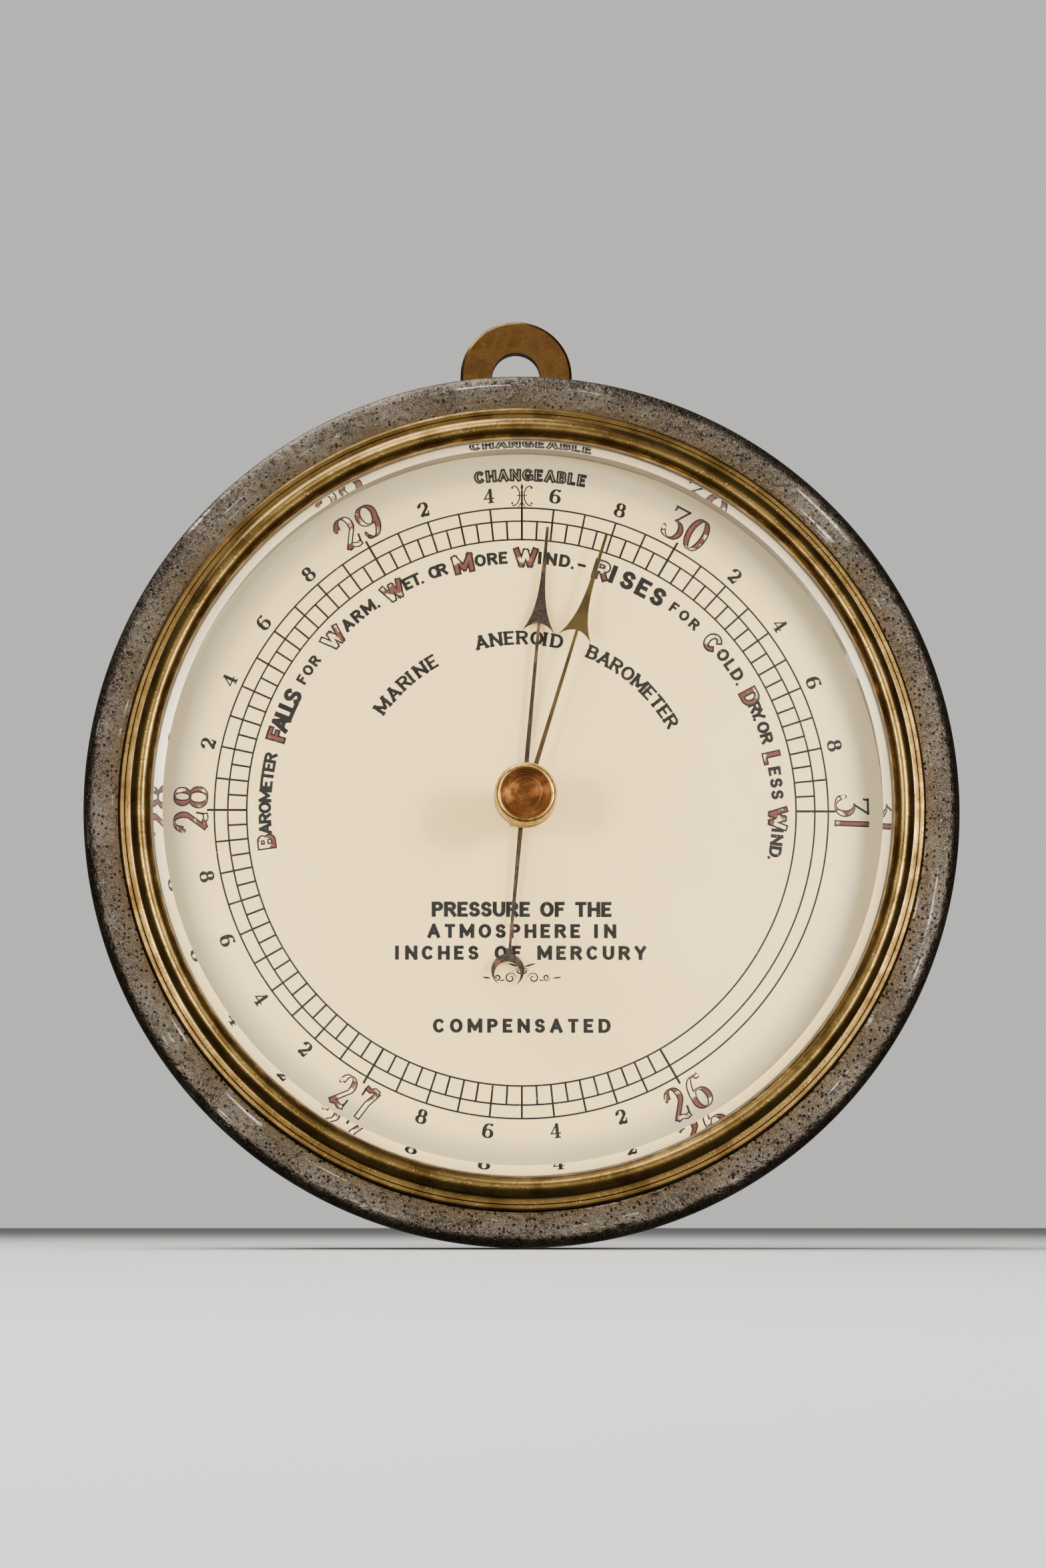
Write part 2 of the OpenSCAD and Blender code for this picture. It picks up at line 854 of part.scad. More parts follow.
module hand_outline(head, half_barb)
{
    rise = 1.6;
    join = hand_len - head + rise + 0.4;
    arrow(hand_len, head, rise, 0.25, half_barb);
    polygon([[-0.45, 0], [0.45, 0], [0.27, join], [-0.27, join]]);
}

module hand_collet()
{
    color("goldenrod") face_forward() translate([0, 0, hand_z - 1.2]) tube(2, arbor_r, 1.2, $fn = 48);
}

// Steel hand with a counterweight tail that ends in a crescent opening away from the centre
module pressure_hand()
{
    tail = hand_len * 0.565;
    moon_r = 2.9;
    bite_r = 2.25;
    color("dimgray") face_forward() translate([0, 0, hand_z]) rotate([0, 0, -pressure_angle])
        linear_extrude(hand_t) difference()
    {
        union()
        {
            hand_outline(steel_head, steel_barb);
            circle(r = 2.5);
            polygon([[-0.25, 3.5 - tail], [0.25, 3.5 - tail], [0.45, 0], [-0.45, 0]]);
            difference()
            {
                translate([0, -tail]) circle(r = moon_r);
                translate([0, -tail - 0.75]) circle(r = bite_r);
                translate([-4, -tail - 5.6]) square([8, 3]);
            }
            translate([-0.6, 2.2 - tail]) square([1.2, 1.6]);
        }
        circle(r = arbor_r, $fn = 48);
    }
}

module set_hand()
{
    color("peru") face_forward() rotate([0, 0, -set_angle]) difference()
    {
        union()
        {
            translate([0, 0, set_hand_z + 0.2]) linear_extrude(hand_t)
                hand_outline(brass_head, brass_barb);
            translate([0, 0, set_hand_z]) cylinder(r = 2.7, h = 1);
        }
        translate([0, 0, set_hand_z - 1]) cylinder(r = spindle_r, h = 4);
    }
}

module set_spindle()
{
    color("goldenrod") face_forward() translate([0, 0, set_hand_z - 0.6])
        cylinder(r = spindle_r, h = knob_top - 5 - set_hand_z);
}

module set_knob()
{
    rim_w = 0.5;
    knurl_base = knob_top - 6.6;
    knurl_top = knob_top - 1.7;
    color("darkgoldenrod") face_forward() difference()
    {
        union()
        {
            translate([0, 0, knob_base]) cylinder(r = 3, h = knurl_base - knob_base);
            translate([0, 0, knurl_base]) cylinder(r1 = knob_r - 0.5, r2 = knob_r, h = 0.5);
            translate([0, 0, knurl_base + 0.5]) cylinder(r = knob_r, h = knurl_top - knurl_base - 0.5);
            translate([0, 0, knurl_top]) cylinder(r1 = knob_r, r2 = knob_r - rim_w, h = knob_top - knurl_top);
        }
        translate([0, 0, knob_top + 13.2]) sphere(r = 14);
        translate([0, 0, knob_base - 1]) cylinder(r = spindle_r, h = knob_top - 5.6 - knob_base + 1);
    }
}

case_drum();
hanging_lug();
lug_screws();
case_screws();
bezel_seat_ring();
bezel();
glass();
glass_bush();
bush_nut();
wall_ring();
dial();
dial_plate();
dial_pillars();
dial_screws();
base_plate();
spacer_washers();
capsule_lower();
capsule_upper();
capsule_stud();
capsule_post();
post_pin();
spring_block();
block_screws();
mainspring();
spring_clamp();
clamp_screws();
adjusting_screw();
main_lever();
compensation_bar();
lever_screws();
lever_pin();
connecting_link();
rocking_shaft();
chain_arm();
short_arm();
arm_pin();
shaft_brackets();
bracket_screws();
bridge_pillars();
movement_bridge();
bridge_screws();
arbor_bush();
arbor_cock();
hand_arbor();
arbor_pulley();
arbor_chain();
hairspring_collet();
hairspring();
hairspring_stud();
hand_collet();
pressure_hand();
set_hand();
set_spindle();
set_knob();
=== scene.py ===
"""Looks of a ship's aneroid barometer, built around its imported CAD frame.

Blender's units are metres in the CAD frame: +Z up to the lug, the dial facing -Y. Shapes are
drawn in millimetres, x to the right, y up and forward out of the dial, and at() turns those."""
import json
import math
import random

import bmesh
import bpy
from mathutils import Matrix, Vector


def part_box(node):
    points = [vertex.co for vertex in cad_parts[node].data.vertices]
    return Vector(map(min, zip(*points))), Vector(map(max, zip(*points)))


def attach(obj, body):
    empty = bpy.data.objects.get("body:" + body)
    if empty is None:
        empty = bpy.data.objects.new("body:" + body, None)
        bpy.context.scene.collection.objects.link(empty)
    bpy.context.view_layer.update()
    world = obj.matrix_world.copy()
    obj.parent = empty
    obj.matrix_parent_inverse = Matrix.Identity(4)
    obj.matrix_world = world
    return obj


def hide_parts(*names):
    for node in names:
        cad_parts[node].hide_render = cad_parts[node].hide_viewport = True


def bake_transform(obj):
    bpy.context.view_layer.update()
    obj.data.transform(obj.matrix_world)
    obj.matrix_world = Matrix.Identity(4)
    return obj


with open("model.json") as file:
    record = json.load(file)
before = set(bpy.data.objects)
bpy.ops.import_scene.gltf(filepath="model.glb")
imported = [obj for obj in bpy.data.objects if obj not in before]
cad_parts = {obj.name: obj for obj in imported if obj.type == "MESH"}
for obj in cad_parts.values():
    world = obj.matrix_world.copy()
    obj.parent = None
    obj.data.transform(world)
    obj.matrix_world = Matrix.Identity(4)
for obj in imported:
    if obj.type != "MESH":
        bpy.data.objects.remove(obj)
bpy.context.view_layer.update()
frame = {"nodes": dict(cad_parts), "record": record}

MM = 0.001
SAME_POINT = 1e-7  # metres within which two corners are one


# ---------- Sizes read from the frame, in millimetres ----------

def front_of(node):
    """How far forward of the case's back a node reaches."""
    return -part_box(node)[0][1] / MM


def back_of(node):
    """How far forward of the case's back a node begins."""
    return -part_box(node)[1][1] / MM


def radius_of(node):
    """How far a node reaches to the right of the dial's axis."""
    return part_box(node)[1][0] / MM


DIAL_Z = front_of("dial")
GLASS_BACK = back_of("glass")
GLASS_FRONT = front_of("glass")
GLASS_R = radius_of("glass")
RIM_R = radius_of("case_drum")
RIM_Z = front_of("case_drum")
BEZEL_R = radius_of("bezel")
BEZEL_TOP = front_of("bezel")
KNOB_R = radius_of("set_knob")
KNOB_FRONT = front_of("set_knob")
KNOB_BACK = back_of("set_knob")
LIP_R = GLASS_R - 2.7  # inside the bezel's bead
BEVEL = 1.9  # the glass's ground edge, both wide and deep
FLAT_R = LIP_R - 1.95  # where the glass's flat front ends


# ---------- Mesh helpers ----------

def at(x, y, forward):
    """A point in millimetres as a place in the frame, in metres."""
    return (x * MM, -forward * MM, y * MM)


def solid(name, points, faces):
    """An object whose mesh is closed, with its normals outward. The points are in millimetres."""
    mesh = bpy.data.meshes.new(name)
    mesh.from_pydata([at(*p) for p in points], [], faces)
    work = bmesh.new()
    work.from_mesh(mesh)
    bmesh.ops.remove_doubles(work, verts=work.verts, dist=SAME_POINT)
    bmesh.ops.recalc_face_normals(work, faces=work.faces)
    work.to_mesh(mesh)
    work.free()
    made = bpy.data.objects.new(name, mesh)
    bpy.context.collection.objects.link(made)
    return made


def piece(name, points, faces, body, slot, material, node=None, sharp=35):
    """A solid piece of the object, its edges sharp by angle. It rides on the body, if one is named."""
    made = solid(name, points, faces)
    made.data.shade_smooth()
    made.data.set_sharp_from_angle(angle=math.radians(sharp))
    made.data.materials.append(MATERIALS[material])
    if body:
        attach(made, body)
    if node:
        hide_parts(node)
    return made


def bow(cx, cy, rx, ry, start, end, count=20):
    """Points along an elliptical arc, its angles in degrees counter-clockwise from +x."""
    turns = [math.radians(start + (end - start) * i / count) for i in range(count + 1)]
    return [(cx + rx * math.cos(t), cy + ry * math.sin(t)) for t in turns]


def turned(outline, count, shape=None):
    """Points and faces of a closed outline of (radius, forward), turned about the dial's axis.

    shape(radius, forward, turn) gives the radius and forward of a point that isn't plainly round."""
    points = []
    for i in range(count):
        turn = 2 * math.pi * i / count
        for radius, forward in outline:
            r, f = shape(radius, forward, turn) if shape else (radius, forward)
            points.append((r * math.sin(turn), r * math.cos(turn), f))
    n = len(outline)
    faces = []
    for i in range(count):
        here, there = i * n, (i + 1) % count * n
        for j in range(n):
            k = (j + 1) % n
            faces.append((here + j, here + k, there + k, there + j))
    return points, faces


# ---------- Lettering: strokes on the dial as thin closed bars of ink ----------

def ball(x, y, radius):
    """A round dot, as a path and its widths: at each point it is as wide as the circle is."""
    spots = [-radius * math.cos(math.pi * i / 12) for i in range(13)]
    return [(x + s, y) for s in spots], [2 * math.sqrt(max(radius ** 2 - s ** 2, 1e-6)) for s in spots]


THIN, THICK = "thin", "thick"

# Each glyph is its width and its strokes in a cell one unit each way. A stroke is a list of
# points, after THIN or THICK where its weight doesn't follow its direction, or a ball.
GLYPHS = {
    "A": (0.92, [[(0, 0), (0.5, 1)], [(0.5, 1), (1, 0)], [(0.2, 0.3), (0.8, 0.3)]]),
    "B": (0.8, [[(0, 0), (0, 1)], [(0, 1), (0.5, 1)] + bow(0.55, 0.77, 0.36, 0.23, 90, -90) + [(0, 0.54)],
                [(0, 0.54), (0.5, 0.54)] + bow(0.6, 0.27, 0.4, 0.27, 90, -90) + [(0, 0)]]),
    "C": (0.86, [bow(0.52, 0.5, 0.52, 0.5, 48, 312)]),
    "D": (0.88, [[(0, 0), (0, 1)], [(0, 1), (0.4, 1)] + bow(0.45, 0.5, 0.55, 0.5, 90, -90) + [(0, 0)]]),
    "E": (0.72, [[(0, 0), (0, 1)], [(0, 1), (1, 1)], [(0, 0.52), (0.8, 0.52)], [(0, 0), (1, 0)]]),
    "F": (0.7, [[(0, 0), (0, 1)], [(0, 1), (1, 1)], [(0, 0.52), (0.8, 0.52)]]),
    "G": (0.9, [bow(0.52, 0.5, 0.52, 0.5, 48, 330), [(0.6, 0.42), (1, 0.42)], [(1, 0.42), (1, 0.1)]]),
    "H": (0.85, [[(0, 0), (0, 1)], [(1, 0), (1, 1)], [(0, 0.5), (1, 0.5)]]),
    "I": (0.0, [[(0.5, 0), (0.5, 1)]]),
    "L": (0.7, [[(0, 1), (0, 0)], [(0, 0), (1, 0)]]),
    "M": (1.05, [[(0, 0), (0, 1)], [(0, 1), (0.5, 0.2)], [(0.5, 0.2), (1, 1)], [(1, 1), (1, 0)]]),
    "N": (0.88, [[(0, 0), (0, 1)], [(0, 1), (1, 0)], [(1, 0), (1, 1)]]),
    "O": (0.92, [bow(0.5, 0.5, 0.5, 0.5, 0, 360, 36)]),
    "P": (0.76, [[(0, 0), (0, 1)], [(0, 1), (0.5, 1)] + bow(0.58, 0.74, 0.42, 0.26, 90, -90) + [(0, 0.48)]]),
    "R": (0.84, [[(0, 0), (0, 1)], [(0, 1), (0.5, 1)] + bow(0.55, 0.75, 0.4, 0.25, 90, -90) + [(0, 0.5)],
                 [(0.5, 0.5), (1, 0)]]),
    "S": (0.74, [bow(0.5, 0.75, 0.46, 0.25, 25, 270) + bow(0.5, 0.25, 0.5, 0.25, 88, -155)]),
    "T": (0.8, [[(0, 1), (1, 1)], [(0.5, 0), (0.5, 1)]]),
    "U": (0.84, [[(0, 1), (0, 0.4)] + bow(0.5, 0.4, 0.5, 0.4, 180, 360) + [(1, 0.4), (1, 1)]]),
    "W": (1.2, [[(0, 1), (0.26, 0)], [(0.26, 0), (0.5, 0.9)], [(0.5, 0.9), (0.74, 0)], [(0.74, 0), (1, 1)]]),
    "Y": (0.86, [[(0, 1), (0.5, 0.45)], [(1, 1), (0.5, 0.45)], [(0.5, 0.45), (0.5, 0)]]),
    ".": (0.12, [ball(0.5, 0.02, 0.13)]),
    "-": (0.7, [[(0, 0.42), (1, 0.42)]]),
    "0": (0.64, [bow(0.5, 0.5, 0.5, 0.5, 0, 360, 40)]),
    "1": (0.3, [THICK, [(0.5, 0), (0.5, 1)], THIN, [(0.5, 1), (0, 0.8)], THIN, [(-0.2, 0), (1.2, 0)]]),
    "2": (0.68, [bow(0.47, 0.72, 0.42, 0.28, 172, -38) + [(0.04, 0.05)], ball(0.12, 0.68, 0.1),
                 THICK, [(0.1, 0.06), (0.4, 0.1), (0.7, 0.03), (0.92, 0.06)],
                 THIN, [(0.92, 0.06), (1, 0.3)]]),
    "3": (0.66, [THIN, [(0.1, 0.88), (0.16, 1)], THIN, [(0.1, 1), (0.95, 1)], THIN, [(0.95, 1), (0.45, 0.6)],
                 [(0.4, 0.58)] + bow(0.42, 0.29, 0.55, 0.29, 88, -150), ball(0.08, 0.2, 0.11)]),
    "4": (0.74, [THIN, [(0.68, 1), (0, 0.3)], THIN, [(0, 0.3), (1, 0.3)], THICK, [(0.68, 0), (0.68, 1)],
                 THIN, [(0.42, 0), (0.94, 0)]]),
    "6": (0.66, [bow(0.5, 0.3, 0.5, 0.3, 0, 360, 36), bow(0.62, 0.48, 0.6, 0.52, 58, 190),
                 ball(0.86, 0.86, 0.09)]),
    "7": (0.66, [THICK, [(0.08, 0.95), (0.4, 0.9), (0.7, 0.98), (1, 0.94)], THIN, [(0.03, 0.7), (0.08, 0.95)],
                [(1, 0.94), (0.6, 0.5), (0.42, 0)]]),
    "8": (0.66, [bow(0.5, 0.76, 0.39, 0.24, 0, 360, 30), bow(0.5, 0.27, 0.5, 0.27, 0, 360, 34)]),
    "9": (0.66, [bow(0.5, 0.7, 0.5, 0.3, 0, 360, 36), bow(0.38, 0.52, 0.6, 0.52, 238, 370),
                 ball(0.14, 0.14, 0.09)]),
}


# Millimetres: how far a bar stands over the dial and reaches into it, and the small difference in
# height that keeps the faces of crossing bars apart.
INK_RISE, FILL_RISE, INK_SINK, OVERLAP_STEP = 0.02, 0.032, 0.01, 0.0004


class Ink:
    """Collects strokes as closed bars on the dial's face, and makes one piece of each colour."""

    def __init__(self, base):
        self.base = base
        self.points = []
        self.faces = []

    def bar(self, path, widths, rise):
        """Adds one bar along a path of points, as wide as told at each and rise thick."""
        shut = math.dist(path[0], path[-1]) < 1e-6
        if shut:
            path, widths = path[:-1], widths[:-1]
        n = len(path)
        first = len(self.points)
        rise += len(self.faces) % 7 * OVERLAP_STEP
        for i, (x, y) in enumerate(path):
            before = path[i - 1] if i or shut else path[0]
            after = path[(i + 1) % n] if i < n - 1 or shut else path[-1]
            dx, dy = after[0] - before[0], after[1] - before[1]
            reach = widths[i] / 2 / (math.hypot(dx, dy) or 1)
            for side in (-1, 1):
                for height in (-INK_SINK, rise):
                    self.points.append((x - side * dy * reach, y + side * dx * reach, self.base + height))
        for i in range(n if shut else n - 1):
            a, b = first + 4 * i, first + 4 * ((i + 1) % n)
            self.faces += [(a, b, b + 1, a + 1), (a + 2, a + 3, b + 3, b + 2),
                           (a + 1, b + 1, b + 3, a + 3), (a, a + 2, b + 2, b)]
        if not shut:
            last = first + 4 * (n - 1)
            self.faces += [(first, first + 1, first + 3, first + 2), (last, last + 2, last + 3, last + 1)]

    def made(self, name, material):
        """The piece that holds every bar collected so far."""
        return piece(name, self.points, self.faces, "case", "dial_enamel", material)


black_ink = Ink(DIAL_Z)
red_fill = Ink(DIAL_Z)
bare_fill = Ink(DIAL_Z)

# Stroke widths as parts of the letter's height: upright, level and outline. Then forked ends or
# not, and how many times its own width the letter is drawn.
STYLES = {
    "plain": (0.285, 0.235, 0, False, 1),
    "initial": (0.35, 0.29, 0.09, False, 1),
    "digit": (0.26, 0.10, 0, False, 1.2),
    "numeral": (0.20, 0.065, 0.045, False, 0.97),
    "forked": (0.25, 0.19, 0, True, 1),
    "forked outline": (0.36, 0.29, 0.16, True, 1),
}


def lengthened(path, extra):
    """A path with both ends moved on by extra."""
    def beyond(end, inner):
        far = math.dist(end, inner) or 1
        return (end[0] + (end[0] - inner[0]) * extra / far, end[1] + (end[1] - inner[1]) * extra / far)
    return [beyond(path[0], path[1])] + path[1:-1] + [beyond(path[-1], path[-2])]


def forks(path, stem, upright):
    """The forked ends and the spur of one upright stem."""
    (x0, y0), (x1, y1) = path
    out = []
    for (x, y), way in ((path[0], math.copysign(1, y0 - y1)), (path[1], math.copysign(1, y1 - y0))):
        for side in (-1, 1):
            out.append(([(x, y - way * 0.08), (x + side * 0.14, y + way * 0.07)], [stem, stem * 0.8]))
    if upright:
        x, y = (x0 + x1) / 2, (y0 + y1) / 2
        out.append(([(x - 0.16, y), (x, y), (x + 0.16, y)], [0.01, stem * 1.6, 0.01]))
    return out


def glyph(letter, cap, style, place):
    """Draws one glyph. place(x, y) turns its millimetres into a point of the dial."""
    upright, level, line, forked, stretch = STYLES[style]
    wide, strokes = GLYPHS[letter]
    wide *= stretch
    weight = None
    for stroke in strokes:
        if stroke in (THIN, THICK):
            weight = stroke
            continue
        if isinstance(stroke, tuple):
            path, widths = stroke
            path = [(x * wide if wide > 0.2 else x - 0.5 + wide / 2, y + 0.06) for x, y in path]
            bars = [(path, widths)]
        else:
            path = [(x * wide + upright / 2 * (1 - 2 * x) if wide else 0, level / 2 + y * (1 - level))
                    for x, y in stroke]
            bars = [styled(path, weight, upright, level)]
            if forked and len(path) == 2 and abs(path[0][1] - path[1][1]) > 0.5:
                bars += forks(path, upright * 0.8, abs(path[0][0] - path[1][0]) < 0.01)
        weight = None
        for path, widths in bars:
            spots = [place(x * cap, y * cap) for x, y in path]
            black_ink.bar(spots, [w * cap for w in widths], INK_RISE)
            if line and max(widths) > 2 * line:
                inner = lengthened(path, -line) if math.dist(path[0], path[-1]) > 1e-6 else path
                spots = [place(x * cap, y * cap) for x, y in inner]
                filled = bare_fill if forked else red_fill
                filled.bar(spots, [max(w - 2 * line, 0.004) * cap for w in widths], FILL_RISE)


def styled(path, weight, upright, level):
    """A stroke's path and its widths: by direction, or all thin or thick where weight says so."""
    widths = []
    for i in range(len(path)):
        a, b = path[max(i - 1, 0)], path[min(i + 1, len(path) - 1)]
        steep = abs(b[1] - a[1]) / (math.dist(a, b) or 1)
        share = {THIN: 0.0, THICK: 0.8}.get(weight, steep ** 1.6)
        widths.append(level + (upright - level) * share)
    if math.dist(path[0], path[-1]) < 1e-6:
        widths[0] = widths[-1] = upright
        return path, widths
    return lengthened(path, min(widths[0], level) / 2), widths


def width_of(letter, cap, style):
    """How wide a letter is drawn, in millimetres."""
    return cap * (GLYPHS[letter][0] * STYLES[style][4] or STYLES[style][0])


def on_arc(radius, angle, down=False):
    """A placer for a glyph that starts at an angle, clockwise from the top, on a round baseline."""
    def place(x, y):
        r = radius - y if down else radius + y
        turn = math.radians(angle) + (-x if down else x) / radius
        return (r * math.sin(turn), r * math.cos(turn))
    return place


def on_line(left, foot):
    """A placer for a glyph that starts at left on a level baseline."""
    return lambda x, y: (left + x, foot + y)


def arc_word(letters, start, end, middle_r):
    """Spreads (letter, cap, style) from one angle to another about a round middle line."""
    widths = [width_of(*item) for item in letters]
    room = math.radians(end - start) * middle_r
    gap = (room - sum(widths)) / max(len(letters) - 1, 1)
    x = 0.0
    for (letter, cap, style), wide in zip(letters, widths):
        radius = middle_r - cap / 2
        glyph(letter, cap, style, on_arc(radius, start + math.degrees(x / middle_r)))
        x += wide + gap


def line_word(text, cap, style, y, wide):
    """Spreads a line of text evenly about the dial's upright, its middle at height y."""
    widths = [cap * 0.55 if c == " " else width_of(c, cap, style) for c in text]
    gap = (wide - sum(widths)) / (len(text) - 1)
    x = -wide / 2
    for letter, w in zip(text, widths):
        if letter != " ":
            glyph(letter, cap, style, on_line(x, y - cap / 2))
        x += w + gap


# ---------- What is printed on the dial ----------

OUTER_R, MIDDLE_R, INNER_R = 53.7, 51.35, 48.05
FIGURE_R = 54.8  # the figures' baseline
DEGREES_PER_INCH = 60
TOP_INCH = 29.5
LOW_INCH, HIGH_INCH = 26, 31
LINE = 0.33
TICK = 0.38


def ring(radius, wide):
    """A round line about the dial's axis."""
    path = bow(0, 0, radius, radius, 0, 360, 360)
    black_ink.bar(path, [wide] * len(path), INK_RISE)


def tick(angle, start, end, wide):
    """A straight mark from one radius to another."""
    turn = math.radians(angle)
    ends = [(r * math.sin(turn), r * math.cos(turn)) for r in (start, end)]
    black_ink.bar(ends, [wide, wide], INK_RISE + 0.004)


def scale():
    """The three rings, a mark for each 0.05 inch, and the figures."""
    for radius in (OUTER_R, MIDDLE_R, INNER_R):
        ring(radius, LINE)
    for step in range((HIGH_INCH - LOW_INCH) * 20 + 1):
        inches = LOW_INCH + step / 20
        angle = (inches - TOP_INCH) * DEGREES_PER_INCH
        if step % 20 == 0:
            tick(angle, INNER_R, OUTER_R + 1.3, TICK * 1.15)
            figures(str(round(inches)), angle, 6.1, "numeral", FIGURE_R, 0.3)
        elif step % 2 == 0:
            tick(angle, INNER_R, OUTER_R, TICK)
        else:
            tick(angle, INNER_R, MIDDLE_R, TICK)
        if step % 4 == 0 and step % 20:
            figures(str(step % 20 // 2), angle, 2.6, "digit", FIGURE_R, 0)


def figures(text, angle, cap, style, foot, gap):
    """Figures about an angle, their tops outward in the upper part of the dial and inward below."""
    down = abs(angle) > 95 and abs(angle) < 265
    radius = foot + cap if down else foot
    widths = [width_of(c, cap, style) for c in text]
    half = (sum(widths) + gap * (len(text) - 1)) / 2
    x = -half
    for letter, wide in zip(text, widths):
        turn = math.degrees(x / (foot + cap / 2))
        glyph(letter, cap, style, on_arc(radius, angle - turn if down else angle + turn, down))
        x += wide + gap


# The rule's words: where each starts and ends in degrees from the top, and the heights of its
# initial, 0 where it has none, and of its other letters.
RULE = (
    ("BAROMETER", -98.9, -77.0, 3.4, 2.25), ("FALLS", -74.5, -62.0, 3.6, 3.2), ("FOR", -60.0, -53.0, 0, 1.95),
    ("WARM.", -50.2, -34.7, 3.5, 2.25), ("WET.", -33.0, -23.2, 3.5, 2.25), ("OR", -21.5, -17.1, 0, 2.25),
    ("MORE", -15.8, -3.2, 3.6, 2.25), ("WIND.", -2.0, 11.8, 3.6, 2.25), ("-", 12.6, 14.9, 0, 2.25),
    ("RISES", 16.2, 33.8, 3.7, 3.3), ("FOR", 35.8, 43.6, 0, 1.95), ("COLD.", 46.3, 59.5, 3.6, 2.25),
    ("DRY.", 61.3, 68.6, 3.5, 2.25), ("OR", 69.4, 74.5, 0, 2.25), ("LESS", 76.3, 87.3, 3.4, 2.25),
    ("WIND.", 88.8, 100.8, 3.5, 2.25),
)
RULE_R = 44.9
# The title's words and where each starts and ends, then the block's lines: height of the letters,
# height on the dial, and width.
TITLE = (("MARINE", -55.5, -29.5), ("ANEROID", -15.7, 13.6), ("BAROMETER", 22.1, 60.8))
TITLE_R = 30.6
BLOCK = (
    ("PRESSURE OF THE", 2.7, -17.3, 31.5), ("ATMOSPHERE IN", 2.5, -21.1, 33.0),
    ("INCHES OF MERCURY", 2.5, -24.9, 43.5), ("COMPENSATED", 2.5, -37.6, 31.0),
)


def wording():
    """The rule that arches over the dial, the name under it, and the block of plain lines."""
    for word, start, end, first_cap, cap in RULE:
        letters = [(c, cap, "plain") for c in word]
        if first_cap:
            letters[0] = (word[0], first_cap, "initial")
        arc_word(letters, start, end, RULE_R)
    for word, start, end in TITLE:
        arc_word([(c, 2.5, "forked") for c in word], start, end, TITLE_R)
    arc_word([(c, 2.3, "forked outline") for c in "CHANGEABLE"], -8.2, 11.0, 59.6)
    for text, cap, y, wide in BLOCK:
        line_word(text, cap, "plain", y, wide)


def curl(x, y, radius, side, up, turns=1.4, wide=0.16):
    """A spiral that winds inward to a ball, mirrored by side and up."""
    path, widths = [], []
    for i in range(41):
        t = i / 40
        r = radius * (1 - 0.8 * t)
        a = turns * 2 * math.pi * t
        path.append((x + side * r * math.cos(a), y + up * r * math.sin(a)))
        widths.append(wide * (0.6 + 1.2 * math.sin(math.pi * t)))
    black_ink.bar(path, widths, INK_RISE)


def leaf(x, y, dx, dy, wide):
    """A pointed leaf from (x, y)."""
    path = [(x + dx * i / 8, y + dy * i / 8) for i in range(9)]
    black_ink.bar(path, [0.02 + wide * math.sin(math.pi * i / 8) for i in range(9)], INK_RISE)


def ornaments():
    """The small crest at the top of the scale and the scroll under the plain lines."""
    foot = OUTER_R
    leaf(0, foot + 3.1, 0, 1.3, 0.5)
    tick(0, INNER_R, foot + 3.2, TICK)
    black_ink.bar([(-0.95, foot + 2.25), (0.95, foot + 2.25)], [0.2, 0.2], INK_RISE)
    for side in (-1, 1):
        inner = 180 if side > 0 else 0
        stem = bow(side * 1.35, foot + 2.2, 0.95, 1.7, inner, 90 - 30 * side, 14)
        black_ink.bar(stem, [0.24] * len(stem), INK_RISE)
        stem = bow(side * 1.45, foot + 2.2, 1.05, 1.75, -inner, -90 + 15 * side, 14)
        black_ink.bar(stem, [0.24] * len(stem), INK_RISE)
        for height in (3.6, 0.85):
            black_ink.bar(*ball(side * 1.7, foot + height, 0.2), INK_RISE)
        black_ink.bar([(0, foot + 1.1), (side * 0.65, foot + 0.1)], [0.3, 0.12], INK_RISE)
    level = -29.3  # the scroll's own height on the dial
    for side in (-1, 1):
        curl(side * 2.0, level, 1.0, -side, 1)
        curl(side * 4.3, level + 0.1, 0.62, side, -1)
        curl(side * 0.5, level + 1.2, 0.6, side, 1)
        leaf(side * 5.3, level, side * 1.7, 0.15, 0.3)
        leaf(side * 0.2, level + 1.9, side * 2.4, 0.7, 0.34)
        leaf(side * 2.9, level - 0.3, side * 1.0, -0.2, 0.24)


def dial_print():
    """Everything printed on the dial: black ink, red filling, and the bare insides of outlined words."""
    scale()
    wording()
    ornaments()
    black_ink.made("dial_print_black", "ink")
    red_fill.made("dial_print_filling", "filling")
    bare_fill.made("dial_print_bare", "dial_enamel")


# ---------- Materials ----------

